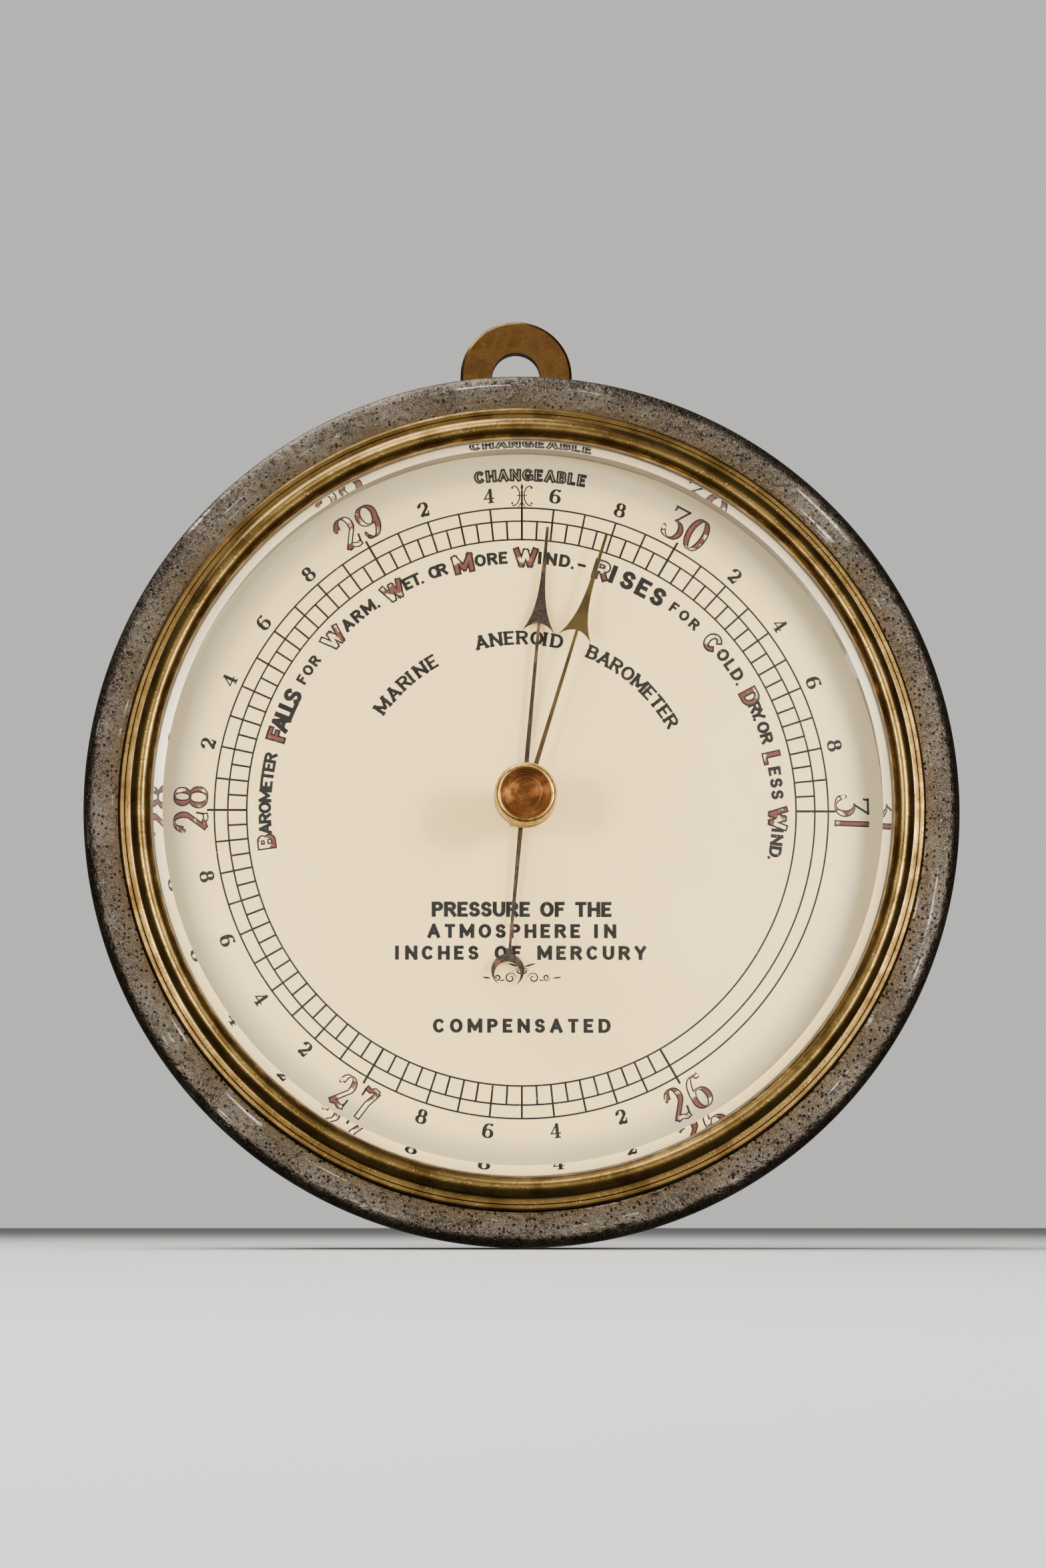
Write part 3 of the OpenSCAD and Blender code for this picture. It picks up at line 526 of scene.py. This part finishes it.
class Shade:
    """One material's nodes. Lengths are millimetres: self.mm is the place on the object in them."""

    def __init__(self, name, **fixed):
        self.material = bpy.data.materials.new(name)
        self.material.use_nodes = True
        self.tree = self.material.node_tree
        self.surface = self.tree.nodes["Principled BSDF"]
        for key, value in fixed.items():
            self.surface.inputs[key.replace("_", " ")].default_value = value
        place = self.add("TexCoord").outputs["Object"]
        self.mm = self.add("VectorMath", {0: place, "Scale": 1 / MM}, operation="SCALE").outputs[0]
        parts = self.add("SeparateXYZ", {0: self.mm})
        self.x, self.y, self.z = parts.outputs
        square = self.math("ADD", self.math("POWER", self.x, 2.0), self.math("POWER", self.z, 2.0))
        self.radius = self.math("SQRT", square)
        self.turn = self.math("ARCTAN2", self.z, self.x)

    def add(self, kind, values=None, **settings):
        """A new node. settings are its properties, and values its inputs by name or number."""
        node = self.tree.nodes.new("ShaderNode" + kind)
        for key, value in settings.items():
            setattr(node, key, value)
        for key, value in (values or {}).items():
            if isinstance(value, bpy.types.NodeSocket):
                self.tree.links.new(value, node.inputs[key])
            else:
                node.inputs[key].default_value = value
        return node

    def math(self, operation, a, b=0.0, clamp=False):
        """One step of arithmetic."""
        return self.add("Math", {0: a, 1: b}, operation=operation, use_clamp=clamp).outputs[0]

    def noise(self, per_mm, detail=3.0, place=None, stretch=None):
        """Cloudy noise from 0 to 1, finer as per_mm grows."""
        place = place or self.mm
        if stretch:
            place = self.add("VectorMath", {0: place, 1: stretch}, operation="MULTIPLY").outputs[0]
        values = {"Vector": place, "Scale": per_mm, "Detail": detail}
        return self.add("TexNoise", values).outputs[0]

    def round(self, along, across):
        """Noise that runs in circles about the dial's axis, along and across per mm."""
        turn = self.math("MULTIPLY", self.turn, along)
        place = self.add("CombineXYZ", {0: self.math("MULTIPLY", self.radius, across), 1: turn,
                                        2: self.math("MULTIPLY", self.y, across)}).outputs[0]
        return self.noise(1.0, 2.0, place)

    def cells(self, per_mm):
        """A node of scattered cells, with a distance and a chance colour for each."""
        return self.add("TexVoronoi", {"Vector": self.mm, "Scale": per_mm})

    def between(self, value, low, high):
        """0 below low and 1 above high, or the other way round when low is the larger."""
        values = {0: value, 1: min(low, high), 2: max(low, high)}
        if low > high:
            values.update({3: 1.0, 4: 0.0})
        return self.add("MapRange", values, interpolation_type="SMOOTHSTEP").outputs[0]

    def times(self, a, b):
        """The product of two numbers."""
        return self.math("MULTIPLY", a, b)

    def mix(self, share, a, b):
        """A colour between a and b."""
        a = (*a, 1.0) if isinstance(a, tuple) else a
        b = (*b, 1.0) if isinstance(b, tuple) else b
        return self.add("Mix", {0: share, 6: a, 7: b}, data_type="RGBA").outputs[2]

    def blend(self, share, a, b):
        """A number between a and b."""
        return self.add("MapRange", {0: share, 3: a, 4: b}).outputs[0]

    def bump(self, height, depth, under=None):
        """Raises the surface by depth millimetres where height is 1."""
        values = {"Height": height, "Distance": depth * MM, "Strength": 1.0}
        if under:
            values["Normal"] = under
        return self.add("Bump", values).outputs[0]

    def done(self, **sockets):
        """Joins the last nodes to the surface and hands over the material."""
        for key, value in sockets.items():
            self.tree.links.new(value, self.surface.inputs[key.replace("_", " ")])
        return self.material


def plated():
    """Worn nickel plate with pits, brown staining towards the bezel, and pale scuffs."""
    s = Shade("plated_case", Metallic=1.0)
    cloud = s.noise(0.09, 4.0)
    grain = s.noise(1.3, 8.0)
    fleck = s.noise(4.2, 6.0)
    pits = s.cells(1.3)
    size = s.add("SeparateColor", {0: pits.outputs["Color"]}).outputs[0]
    deep = s.times(s.between(pits.outputs["Distance"], 0.36, 0.14), s.between(size, 0.3, 0.7))
    base = s.mix(s.between(cloud, 0.38, 0.64), (0.050, 0.038, 0.026), (0.088, 0.070, 0.051))
    base = s.mix(s.times(s.between(grain, 0.5, 0.36), 0.85), base, (0.022, 0.017, 0.012))
    base = s.mix(s.times(s.between(fleck, 0.52, 0.66), 0.6), base, (0.23, 0.195, 0.148))
    warm = s.times(s.between(s.radius, BEZEL_R + 3.4, BEZEL_R + 0.3), s.between(s.noise(0.4), 0.25, 0.55))
    base = s.mix(s.times(warm, 0.7), base, (0.07, 0.044, 0.02))
    base = s.mix(s.times(deep, 0.8), base, (0.014, 0.011, 0.008))
    scuff = s.times(s.between(s.round(2.2, 1.3), 0.6, 0.7), s.between(cloud, 0.5, 0.6))
    base = s.mix(s.times(scuff, 0.6), base, (0.62, 0.58, 0.5))
    rough = s.blend(s.math("ADD", s.times(grain, 0.7), s.times(deep, 0.5), True), 0.28, 0.6)
    dents = s.bump(s.noise(0.35, 2.0), 0.12)
    pitted = s.bump(s.math("SUBTRACT", 1.0, deep), 0.08, dents)
    worn = s.bump(grain, 0.16, pitted)
    return s.done(Base_Color=base, Roughness=rough, Normal=s.bump(fleck, 0.05, worn))


def stained_brass():
    """Polished brass under brown age stains, with the turning marks of a lathe."""
    s = Shade("stained_brass", Metallic=1.0)
    marks = s.round(1.2, 3.5)
    stain = s.between(s.noise(0.16, 5.0), 0.42, 0.62)
    speck = s.between(s.noise(1.3, 4.0), 0.55, 0.68)
    crown = (BEZEL_R + GLASS_R) / 2 - 2.6
    low_side = s.between(s.radius, crown - 0.4, crown - 1.6)
    out_side = s.between(s.radius, crown + 1.9, crown + 2.6)
    base = s.mix(stain, (0.23, 0.142, 0.041), (0.12, 0.070, 0.019))
    dirty = s.times(s.math("ADD", s.times(low_side, 0.9), s.times(out_side, 0.45), True),
                    s.between(s.noise(0.35, 5.0), 0.3, 0.56))
    base = s.mix(dirty, base, (0.045, 0.020, 0.006))
    base = s.mix(s.times(speck, s.blend(low_side, 0.25, 0.85)), base, (0.07, 0.035, 0.015))
    rough = s.blend(s.math("ADD", s.times(dirty, 0.7), s.times(marks, 0.3)), 0.26, 0.46)
    worn = s.bump(speck, 0.012)
    return s.done(Base_Color=base, Roughness=rough, Normal=s.bump(marks, 0.006, worn))


def knob_brass():
    """Orange-brown patina on the turned face, bare gold on the edges."""
    s = Shade("knob_brass", Metallic=1.0)
    marks = s.round(0.6, 5.0)
    face = s.between(s.radius, KNOB_R - 0.75, KNOB_R - 1.1)
    cloud = s.between(s.noise(0.5, 4.0), 0.35, 0.65)
    patina = s.mix(cloud, (0.13, 0.046, 0.012), (0.06, 0.023, 0.007))
    patina = s.mix(s.between(marks, 0.55, 0.75), patina, (0.20, 0.085, 0.022))
    edge = s.mix(s.between(s.noise(1.1), 0.45, 0.7), (0.50, 0.31, 0.09), (0.24, 0.13, 0.037))
    front = s.between(s.y, -(KNOB_FRONT - 1.9), -(KNOB_FRONT - 1.5))
    groove = s.between(s.radius, KNOB_R - 0.02, KNOB_R - 0.16)
    side = s.mix(groove, (0.26, 0.155, 0.055), (0.018, 0.010, 0.005))
    base = s.mix(front, side, s.mix(face, edge, patina))
    rough = s.blend(s.math("ADD", s.times(face, 0.5), s.times(cloud, 0.4)), 0.24, 0.52)
    return s.done(Base_Color=base, Roughness=rough, Normal=s.bump(marks, 0.014))


def old_brass(name, clean, stain, dull=0.3):
    """Brass that has browned in patches, with fine scratches."""
    s = Shade(name, Metallic=1.0)
    cloud = s.between(s.noise(0.22, 5.0), 0.36, 0.64)
    fine = s.noise(2.2, 4.0)
    scratch = s.between(s.noise(1.0, 2.0, stretch=(0.4, 3.0, 5.0)), 0.6, 0.72)
    base = s.mix(cloud, clean, stain)
    base = s.mix(s.times(scratch, 0.35), base, tuple(min(c * 1.5, 0.9) for c in clean))
    base = s.mix(s.times(s.between(fine, 0.55, 0.75), 0.6), base, tuple(c * 0.35 for c in stain))
    rough = s.blend(s.math("ADD", s.times(cloud, 0.6), s.times(fine, 0.4)), dull - 0.08, dull + 0.24)
    return s.done(Base_Color=base, Roughness=rough, Normal=s.bump(fine, 0.012))


def brass():
    """Clean turned brass inside the case, brushed in circles and a little tarnished."""
    s = Shade("turned_brass", Metallic=1.0)
    marks = s.round(0.5, 4.0)
    cloud = s.between(s.noise(0.1, 4.0), 0.4, 0.66)
    base = s.mix(cloud, (0.74, 0.54, 0.24), (0.58, 0.39, 0.15))
    base = s.mix(s.times(s.between(marks, 0.5, 0.8), 0.4), base, (0.86, 0.68, 0.36))
    return s.done(Base_Color=base, Roughness=s.blend(marks, 0.2, 0.4), Normal=s.bump(marks, 0.008))


def steel(name, bright, dark, rust=0.0):
    """Drawn steel with fine grain, and rust in patches."""
    s = Shade(name, Metallic=1.0)
    grain = s.noise(3.0, 4.0)
    patch = s.times(s.between(s.noise(0.45, 5.0), 0.5, 0.68), rust)
    base = s.mix(s.between(grain, 0.35, 0.7), dark, bright)
    base = s.mix(patch, base, (0.10, 0.04, 0.018))
    rough = s.blend(s.math("ADD", s.times(patch, 0.6), s.times(grain, 0.5)), 0.22, 0.6)
    return s.done(Base_Color=base, Roughness=rough, Normal=s.bump(grain, 0.012))


def capsule_metal():
    """Satin sheet, turned over a former."""
    s = Shade("capsule_metal", Metallic=1.0)
    marks = s.round(0.8, 2.2)
    cloud = s.between(s.noise(0.12, 3.0), 0.4, 0.6)
    base = s.mix(cloud, (0.68, 0.66, 0.60), (0.56, 0.53, 0.46))
    return s.done(Base_Color=base, Roughness=s.blend(marks, 0.3, 0.5), Normal=s.bump(marks, 0.01))


def enamel():
    """Glossy warm cream with tiny dark specks, and painted shade that darkens it towards the edge."""
    s = Shade("dial_enamel", Coat_Weight=0.35, Coat_Roughness=0.12)
    cloud = s.noise(0.05, 4.0)
    base = s.mix(s.between(cloud, 0.35, 0.65), (0.72, 0.49, 0.18), (0.69, 0.46, 0.167))
    # Painted shade: from 55.5 mm outward the cream darkens to grey-olive, standing for the bezel's shadow on
    # the dial.
    base = s.mix(s.times(s.between(s.radius, 55.5, 61), 0.9), base, (0.29, 0.225, 0.12))
    cells = s.cells(0.22)
    chance = s.add("SeparateColor", {0: cells.outputs["Color"]}).outputs[1]
    speck = s.times(s.between(cells.outputs["Distance"], 0.075, 0.05), s.between(chance, 0.72, 0.76))
    base = s.mix(s.times(speck, 0.85), base, (0.10, 0.06, 0.035))
    haze = s.between(s.noise(0.7, 5.0), 0.62, 0.74)
    base = s.mix(s.times(haze, 0.12), base, (0.5, 0.4, 0.27))
    rough = s.blend(cloud, 0.28, 0.42)
    return s.done(Base_Color=base, Roughness=rough, Normal=s.bump(s.noise(0.9, 3.0), 0.004))


def ink():
    """Black printing ink, worn through in tiny places."""
    s = Shade("ink", Specular_IOR_Level=0.15)
    wear = s.between(s.noise(2.6, 5.0), 0.67, 0.75)
    base = s.mix(s.times(wear, 0.7), (0.0035, 0.003, 0.0028), (0.30, 0.23, 0.14))
    return s.done(Base_Color=base, Roughness=s.blend(wear, 0.32, 0.6), Normal=s.bump(wear, 0.004))


def filling():
    """The red-brown filling of the initials and numerals, partly gone so that the cream shows."""
    s = Shade("filling", Specular_IOR_Level=0.2)
    left = s.between(s.noise(0.33, 5.0), 0.5, 0.57)
    scratch = s.between(s.noise(4.0, 3.0), 0.56, 0.66)
    red = s.mix(s.noise(3.0), (0.04, 0.006, 0.0), (0.115, 0.019, 0.0))
    base = s.mix(left, red, (0.70, 0.51, 0.25))
    base = s.mix(s.times(scratch, 0.7), base, (0.03, 0.016, 0.010))
    return s.done(Base_Color=base, Roughness=s.blend(left, 0.45, 0.34), Normal=s.bump(left, 0.004))


def wall_metal():
    """Dulled silvered brass in streaks around the wall."""
    s = Shade("wall_metal", Metallic=0.55)
    streak = s.round(3.0, 0.9)
    patch = s.between(s.round(5.0, 0.25), 0.5, 0.68)
    base = s.mix(s.between(streak, 0.35, 0.7), (0.13, 0.105, 0.066), (0.27, 0.23, 0.155))
    base = s.mix(s.times(patch, 0.55), base, (0.09, 0.065, 0.036))
    return s.done(Base_Color=base, Roughness=s.blend(streak, 0.32, 0.55), Normal=s.bump(streak, 0.02))


def clear_glass():
    """Clear glass with a trace of waviness, which lets the lights through to the dial."""
    s = Shade("clear_glass", Transmission_Weight=1.0, IOR=1.5)
    s.surface.inputs["Base Color"].default_value = (0.985, 0.995, 0.985, 1.0)
    smear = s.between(s.noise(0.12, 4.0), 0.55, 0.8)
    s.done(Roughness=s.blend(smear, 0.0, 0.02), Normal=s.bump(s.noise(0.04, 1.0), 0.02))
    through = s.add("BsdfTransparent", {0: (0.97, 0.98, 0.97, 1.0)})
    rays = s.add("LightPath")
    choices = {0: rays.outputs["Is Shadow Ray"], 1: s.surface.outputs[0], 2: through.outputs[0]}
    either = s.add("MixShader", choices)
    output = s.tree.nodes["Material Output"]
    s.tree.links.new(either.outputs[0], output.inputs["Surface"])
    return s.material


def floor_paint():
    """Plain pale studio floor."""
    s = Shade("floor_paint")
    base = s.mix(s.noise(0.01, 3.0), (0.78, 0.77, 0.75), (0.74, 0.73, 0.71))
    return s.done(Base_Color=base, Roughness=s.blend(s.noise(0.02), 0.55, 0.7))


MATERIALS = {
    "plated_case": plated(),
    "stained_brass": stained_brass(),
    "knob_brass": knob_brass(),
    "aged_brass": old_brass("aged_brass", (0.145, 0.072, 0.020), (0.065, 0.029, 0.009)),
    "brass": brass(),
    "bronze_hand": old_brass("bronze_hand", (0.046, 0.029, 0.010), (0.023, 0.014, 0.005), 0.4),
    "wall_silvered": wall_metal(),
    "dial_enamel": enamel(),
    "capsule_metal": capsule_metal(),
    "blued_steel": steel("blued_steel", (0.05, 0.038, 0.028), (0.02, 0.015, 0.011), 0.6),
    "steel": steel("bright_steel", (0.56, 0.55, 0.53), (0.38, 0.37, 0.36), 0.25),
    "clear_glass": clear_glass(),
    "ink": ink(),
    "filling": filling(),
}


def dress_frame():
    """Gives every node of the frame the material of its slot."""
    for part in frame["record"]["subparts"]:
        for holder in frame["nodes"][part["node"]].material_slots:
            holder.material = MATERIALS[part["material_slot"]]


# ---------- Pieces that replace a node with a finer shape ----------

PIT_STEP = 0.32
PIT_COUNT = 1500
PIT_SECTORS = 360


def finely_cut(points):
    """Outline points with every stretch of the rim cut fine enough to pit."""
    out = []
    for a, b in zip(points, points[1:]):
        parts = max(1, math.ceil(math.dist(a, b) / PIT_STEP)) if min(a[1], b[1]) > RIM_Z - 5 else 1
        out += [(a[0] + (b[0] - a[0]) * i / parts, a[1] + (b[1] - a[1]) * i / parts) for i in range(parts)]
    return out + [points[-1]]


def pitted():
    """A shape() for turned() that sinks seeded pits of several sizes into the rim's face."""
    def sector(turn):
        return int(turn / 2 / math.pi * PIT_SECTORS)

    draw = random.Random(7)
    pits = {}
    for _ in range(PIT_COUNT):
        angle, radius = draw.uniform(0, 2 * math.pi), draw.uniform(BEZEL_R + 0.6, RIM_R - 0.4)
        size = 0.26 + 0.7 * draw.random() ** 4
        depth = size * draw.uniform(0.1, 0.22)
        spot = (radius * math.sin(angle), radius * math.cos(angle), size, depth)
        for key in range(-1, 2):
            pits.setdefault((sector(angle) + key) % PIT_SECTORS, []).append(spot)

    def shape(radius, forward, turn):
        if radius < BEZEL_R + 0.3 or forward < RIM_Z - 3:
            return radius, forward
        x, y = radius * math.sin(turn), radius * math.cos(turn)
        sink = 0.0
        for px, py, size, depth in pits.get(sector(turn), ()):
            near = 1 - ((x - px) ** 2 + (y - py) ** 2) / size ** 2
            if near > 0:
                sink = max(sink, depth * near)
        sink += 0.03 * (1 + math.sin(7 * turn + 1.3 * radius) * math.sin(31 * turn - 0.9 * radius))
        return radius, forward - sink * min(1, (forward - RIM_Z + 3) / 2)
    return shape


def case_shell():
    """The drum case: a flat back, a deep wall and a wide front rim that age has pitted."""
    drum_r, wall, back, rim_len = RIM_R - 3, 2.0, 2.0, 7.0
    corner, edge = 3, 2.2
    seat_r = BEZEL_R + 0.05
    rim_back = RIM_Z - rim_len
    outline = [(0, 0), (drum_r - corner, 0)] + bow(drum_r - corner, corner, corner, corner, -90, 0, 10)
    outline += [(drum_r, rim_back)] + bow(RIM_R - edge, rim_back + edge, edge, edge, -90, 0, 8)
    outline += bow(RIM_R - edge, RIM_Z - edge, edge, edge, 0, 90, 12)
    outline += [(seat_r + 0.15, RIM_Z), (seat_r, RIM_Z - 0.3), (seat_r, rim_back), (drum_r - wall, rim_back),
                (drum_r - wall, back), (0, back)]
    points, faces = turned(finely_cut(outline), 1080, pitted())
    made = piece("case_shell", points, faces, "case", "plated_case", "plated_case", "case_drum", 40)
    screws_r = 44
    turns = [math.radians(angle) for angle in (0, 120, 240)]
    holes = [countersink(screws_r * math.sin(turn), screws_r * math.cos(turn)) for turn in turns]
    low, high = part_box("adjusting_screw")
    access_r = 3.6
    holes.append(cutter([(0, -1), (access_r, -1), (access_r, 3), (0, 3)], (low[0] + high[0]) / 2 / MM, 0))
    for hole in holes:
        cut(made, hole)


def countersink(x, y):
    """The shape of one case screw's hole, from outside the back to inside."""
    head_r, shank_r, past = 3.2, 1.6, 4
    cone = [(head_r, 0), (shank_r, head_r - shank_r)]
    return cutter([(0, -1), (head_r, -1)] + cone + [(shank_r, past), (0, past)], x, y)


def cutter(outline, x, y):
    """A turned solid about a line through (x, y), for cutting a hole."""
    points, faces = turned(outline, 48)
    return solid("cutter", [(px + x, py + y, forward) for px, py, forward in points], faces)


def cut(target, hole):
    """Takes one solid out of a piece and deletes it."""
    modifier = target.modifiers.new("cut", "BOOLEAN")
    modifier.operation = "DIFFERENCE"
    modifier.object = hole
    bpy.context.view_layer.update()
    shaped = target.evaluated_get(bpy.context.evaluated_depsgraph_get())
    old = target.data
    target.data = bpy.data.meshes.new_from_object(shaped)
    target.modifiers.clear()
    bpy.data.meshes.remove(old)
    bpy.data.objects.remove(hole)


def bezel():
    """The stepped brass bezel: a low flange, a half-round bead and the seat for the glass."""
    bead_r = 1.75
    bead_z = BEZEL_TOP - bead_r
    skirt_r = GLASS_R + 0.7
    flange_z = RIM_Z + 1.7
    seat_z = GLASS_FRONT - BEVEL + 0.03
    outline = [(skirt_r, DIAL_Z), (BEZEL_R, DIAL_Z)]
    outline += bow(BEZEL_R - 0.5, flange_z - 0.5, 0.5, 0.5, 0, 90, 6)
    outline += [(BEZEL_R - 1.0, flange_z), (BEZEL_R - 1.1, flange_z - 0.14), (BEZEL_R - 1.2, flange_z)]
    outline += bow(LIP_R + 2 * bead_r + 0.25, flange_z + 0.25, 0.25, 0.25, -90, -180, 4)
    outline += bow(LIP_R + bead_r, bead_z, bead_r, bead_r, 0, 180, 28)
    outline += [(LIP_R, seat_z), (skirt_r, seat_z)]
    piece("bezel_turned", *turned(outline, 540), "case", "aged_brass", "stained_brass", "bezel", 40)


def glass():
    """The flat glass with its ground bevel and its centre hole."""
    hole_r = 2.35
    outline = [(hole_r, GLASS_BACK), (GLASS_R, GLASS_BACK), (GLASS_R, GLASS_FRONT - BEVEL),
               (FLAT_R + BEVEL, GLASS_FRONT - BEVEL), (FLAT_R, GLASS_FRONT), (hole_r, GLASS_FRONT)]
    piece("glass_bevelled", *turned(outline, 720), "case", "clear_glass", "clear_glass", "glass", 8)


def knob():
    """The set knob: a stem, a head with slanting knurls, and a dished face."""
    stem_r, head_back, chamfer = 3.0, KNOB_FRONT - 6.6, 1.7
    ball_r = 14.0
    edge_r = KNOB_R - 0.5
    dish_r = edge_r - 0.35
    dish_z = KNOB_FRONT + math.sqrt(ball_r ** 2 - dish_r ** 2)
    face = [(r, dish_z - math.sqrt(ball_r ** 2 - r ** 2)) for r in [dish_r * (1 - i / 12) for i in range(13)]]
    bore_r, bore_end = 1.2, KNOB_FRONT - 5.6
    rows = 26
    head_top = KNOB_FRONT - chamfer
    side = [(KNOB_R, head_back + 0.25 + (head_top - head_back - 0.25) * i / rows) for i in range(rows + 1)]
    outline = [(bore_r, KNOB_BACK), (stem_r, KNOB_BACK)] + [(stem_r, head_back), (KNOB_R - 0.25, head_back)]
    outline += side + [(edge_r + 0.05, KNOB_FRONT - 0.15), (edge_r - 0.1, KNOB_FRONT)] + face
    outline += [(0, bore_end), (bore_r, bore_end)]
    teeth, slant, depth = 62, 0.55, 0.2

    def knurl(radius, forward, turn):
        if radius < KNOB_R - 0.01:
            return radius, forward
        wave = teeth * (turn + slant * (forward - head_back) / KNOB_R) / (2 * math.pi) % 1
        ends = min(1, (forward - head_back) / 0.6, (head_top - forward) / 0.6)
        return radius - depth * (1 - abs(2 * wave - 1)) * max(ends, 0.15), forward

    piece("set_knob_knurled", *turned(outline, teeth * 8, knurl), "set_hand_train", "aged_brass",
          "knob_brass", "set_knob", 50)


def chain():
    """The riveted chain from the arm's pin to the underside of the pulley and once about it."""
    low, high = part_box("arbor_chain")
    half = (high[1] - low[1]) / 2 / MM
    wrap_r = high[0] / MM - half
    middle = -(low[1] + high[1]) / 2 / MM
    run = -low[0] / MM
    length = run + wrap_r * math.radians(300)
    pitch, plate_r, plate_t, rivet_r = 0.9, 0.29, 0.11, 0.11
    links = 2 * round(length / (2 * pitch))

    def spot(along):
        """The place a number of millimetres along the chain."""
        if along < run:
            return along - run, -wrap_r
        angle = (along - run) / wrap_r - math.pi / 2
        return wrap_r * math.cos(angle), wrap_r * math.sin(angle)

    points, faces = [], []

    def slab(outline, near, far):
        """A closed plate of the outline, from near to far behind and before the chain's middle."""
        first, n = len(points), len(outline)
        points.extend((x, y, middle + z) for z in (near, far) for x, y in outline)
        faces.append(list(range(first, first + n)))
        faces.append(list(range(first + n, first + 2 * n)))
        for i in range(n):
            here, there = first + i, first + (i + 1) % n
            faces.append((here, there, there + n, here + n))

    pins = [spot(plate_r + (length - 2 * plate_r) * i / links) for i in range(links + 1)]
    for i, (a, b) in enumerate(zip(pins, pins[1:])):
        heading = math.degrees(math.atan2(b[1] - a[1], b[0] - a[0]))
        plate = bow(*b, plate_r, plate_r, heading - 90, heading + 90, 8)
        plate += bow(*a, plate_r, plate_r, heading + 90, heading + 270, 8)
        if i % 2:
            slab(plate, -plate_t / 2, plate_t / 2)
        else:
            for side in (-1, 1):
                slab(plate, side * plate_t * 0.6, side * plate_t * 1.6)
    for x, y in pins:
        slab(bow(x, y, rivet_r, rivet_r, 0, 330, 11), -half, half)
    made = piece("chain_links", points, faces, None, "steel", "steel", "arbor_chain", 40)
    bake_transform(made)


# ---------- Studio ----------

def studio():
    """A pale floor under the rim, a pale sky, and soft lamps at both sides and above."""
    bpy.ops.mesh.primitive_plane_add(size=8, location=(0, 0.5, -RIM_R * MM - 0.0002))
    floor = bpy.context.object
    floor.name = "studio_floor"
    floor.data.materials.append(floor_paint())
    floor.visible_glossy = False

    world = bpy.data.worlds.new("studio")
    bpy.context.scene.world = world
    world.use_nodes = True
    nodes, links = world.node_tree.nodes, world.node_tree.links
    sky = nodes["Background"]
    sky.inputs["Color"].default_value = (0.80, 0.79, 0.77, 1)
    rays = nodes.new("ShaderNodeLightPath").outputs

    def math_node(operation, a, b):
        node = nodes.new("ShaderNodeMath")
        node.operation = operation
        for socket, value in zip(node.inputs, (a, b)):
            if isinstance(value, bpy.types.NodeSocket):
                links.new(value, socket)
            else:
                socket.default_value = value
        return node.outputs[0]

    # The camera sees the sky at its brightest, and metal and glass reflect it at its dimmest.
    seen = math_node("MULTIPLY", rays["Is Camera Ray"], 0.55)
    bounced = math_node("MAXIMUM", rays["Is Glossy Ray"], rays["Is Transmission Ray"])
    dimmed = math_node("MULTIPLY", bounced, 0.1)
    level = math_node("SUBTRACT", math_node("ADD", seen, 0.25), dimmed)
    links.new(level, sky.inputs["Strength"])

    lamp("lamp_left", (-0.25, -0.75, -0.018), 0.08, 2.8)
    lamp("lamp_right", (0.29, -0.75, 0.04), 0.09, 4.0)
    lamp("lamp_top", (-0.12, -0.48, 0.5), 0.22, 2.6)
    lamp("lamp_over", (-0.2, 0.0, 0.55), 0.45, 5)


def lamp(name, place, size, power):
    """A square lamp of a size in metres and a power in watts, aimed at the dial."""
    data = bpy.data.lights.new(name, "AREA")
    data.shape = "SQUARE"
    data.size = size
    data.energy = power
    made = bpy.data.objects.new(name, data)
    made.location = place
    aim(made, (0, -RIM_Z * MM, 0))
    bpy.context.collection.objects.link(made)


def aim(thing, target):
    """Turns a lamp or the camera towards a point."""
    away = Vector(target) - Vector(thing.location)
    thing.rotation_euler = away.to_track_quat("-Z", "Y").to_euler()


def camera():
    """A camera a little below the dial's axis and to its left."""
    distance, below, left = 0.68, math.radians(6.4), math.radians(1.4)
    view_width = 0.2713
    centre = Vector((0, -RIM_Z * MM, 0.0038))
    data = bpy.data.cameras.new("camera")
    data.sensor_width = 36
    data.lens = data.sensor_width * distance / view_width
    data.clip_start = 0.01
    made = bpy.data.objects.new("camera", data)
    way = Vector((-math.sin(left), -math.cos(left) * math.cos(below), -math.sin(below)))
    made.location = centre + way * distance
    aim(made, centre)
    bpy.context.collection.objects.link(made)
    bpy.context.scene.camera = made


camera()
dress_frame()
case_shell()
bezel()
glass()
knob()
chain()
dial_print()
studio()
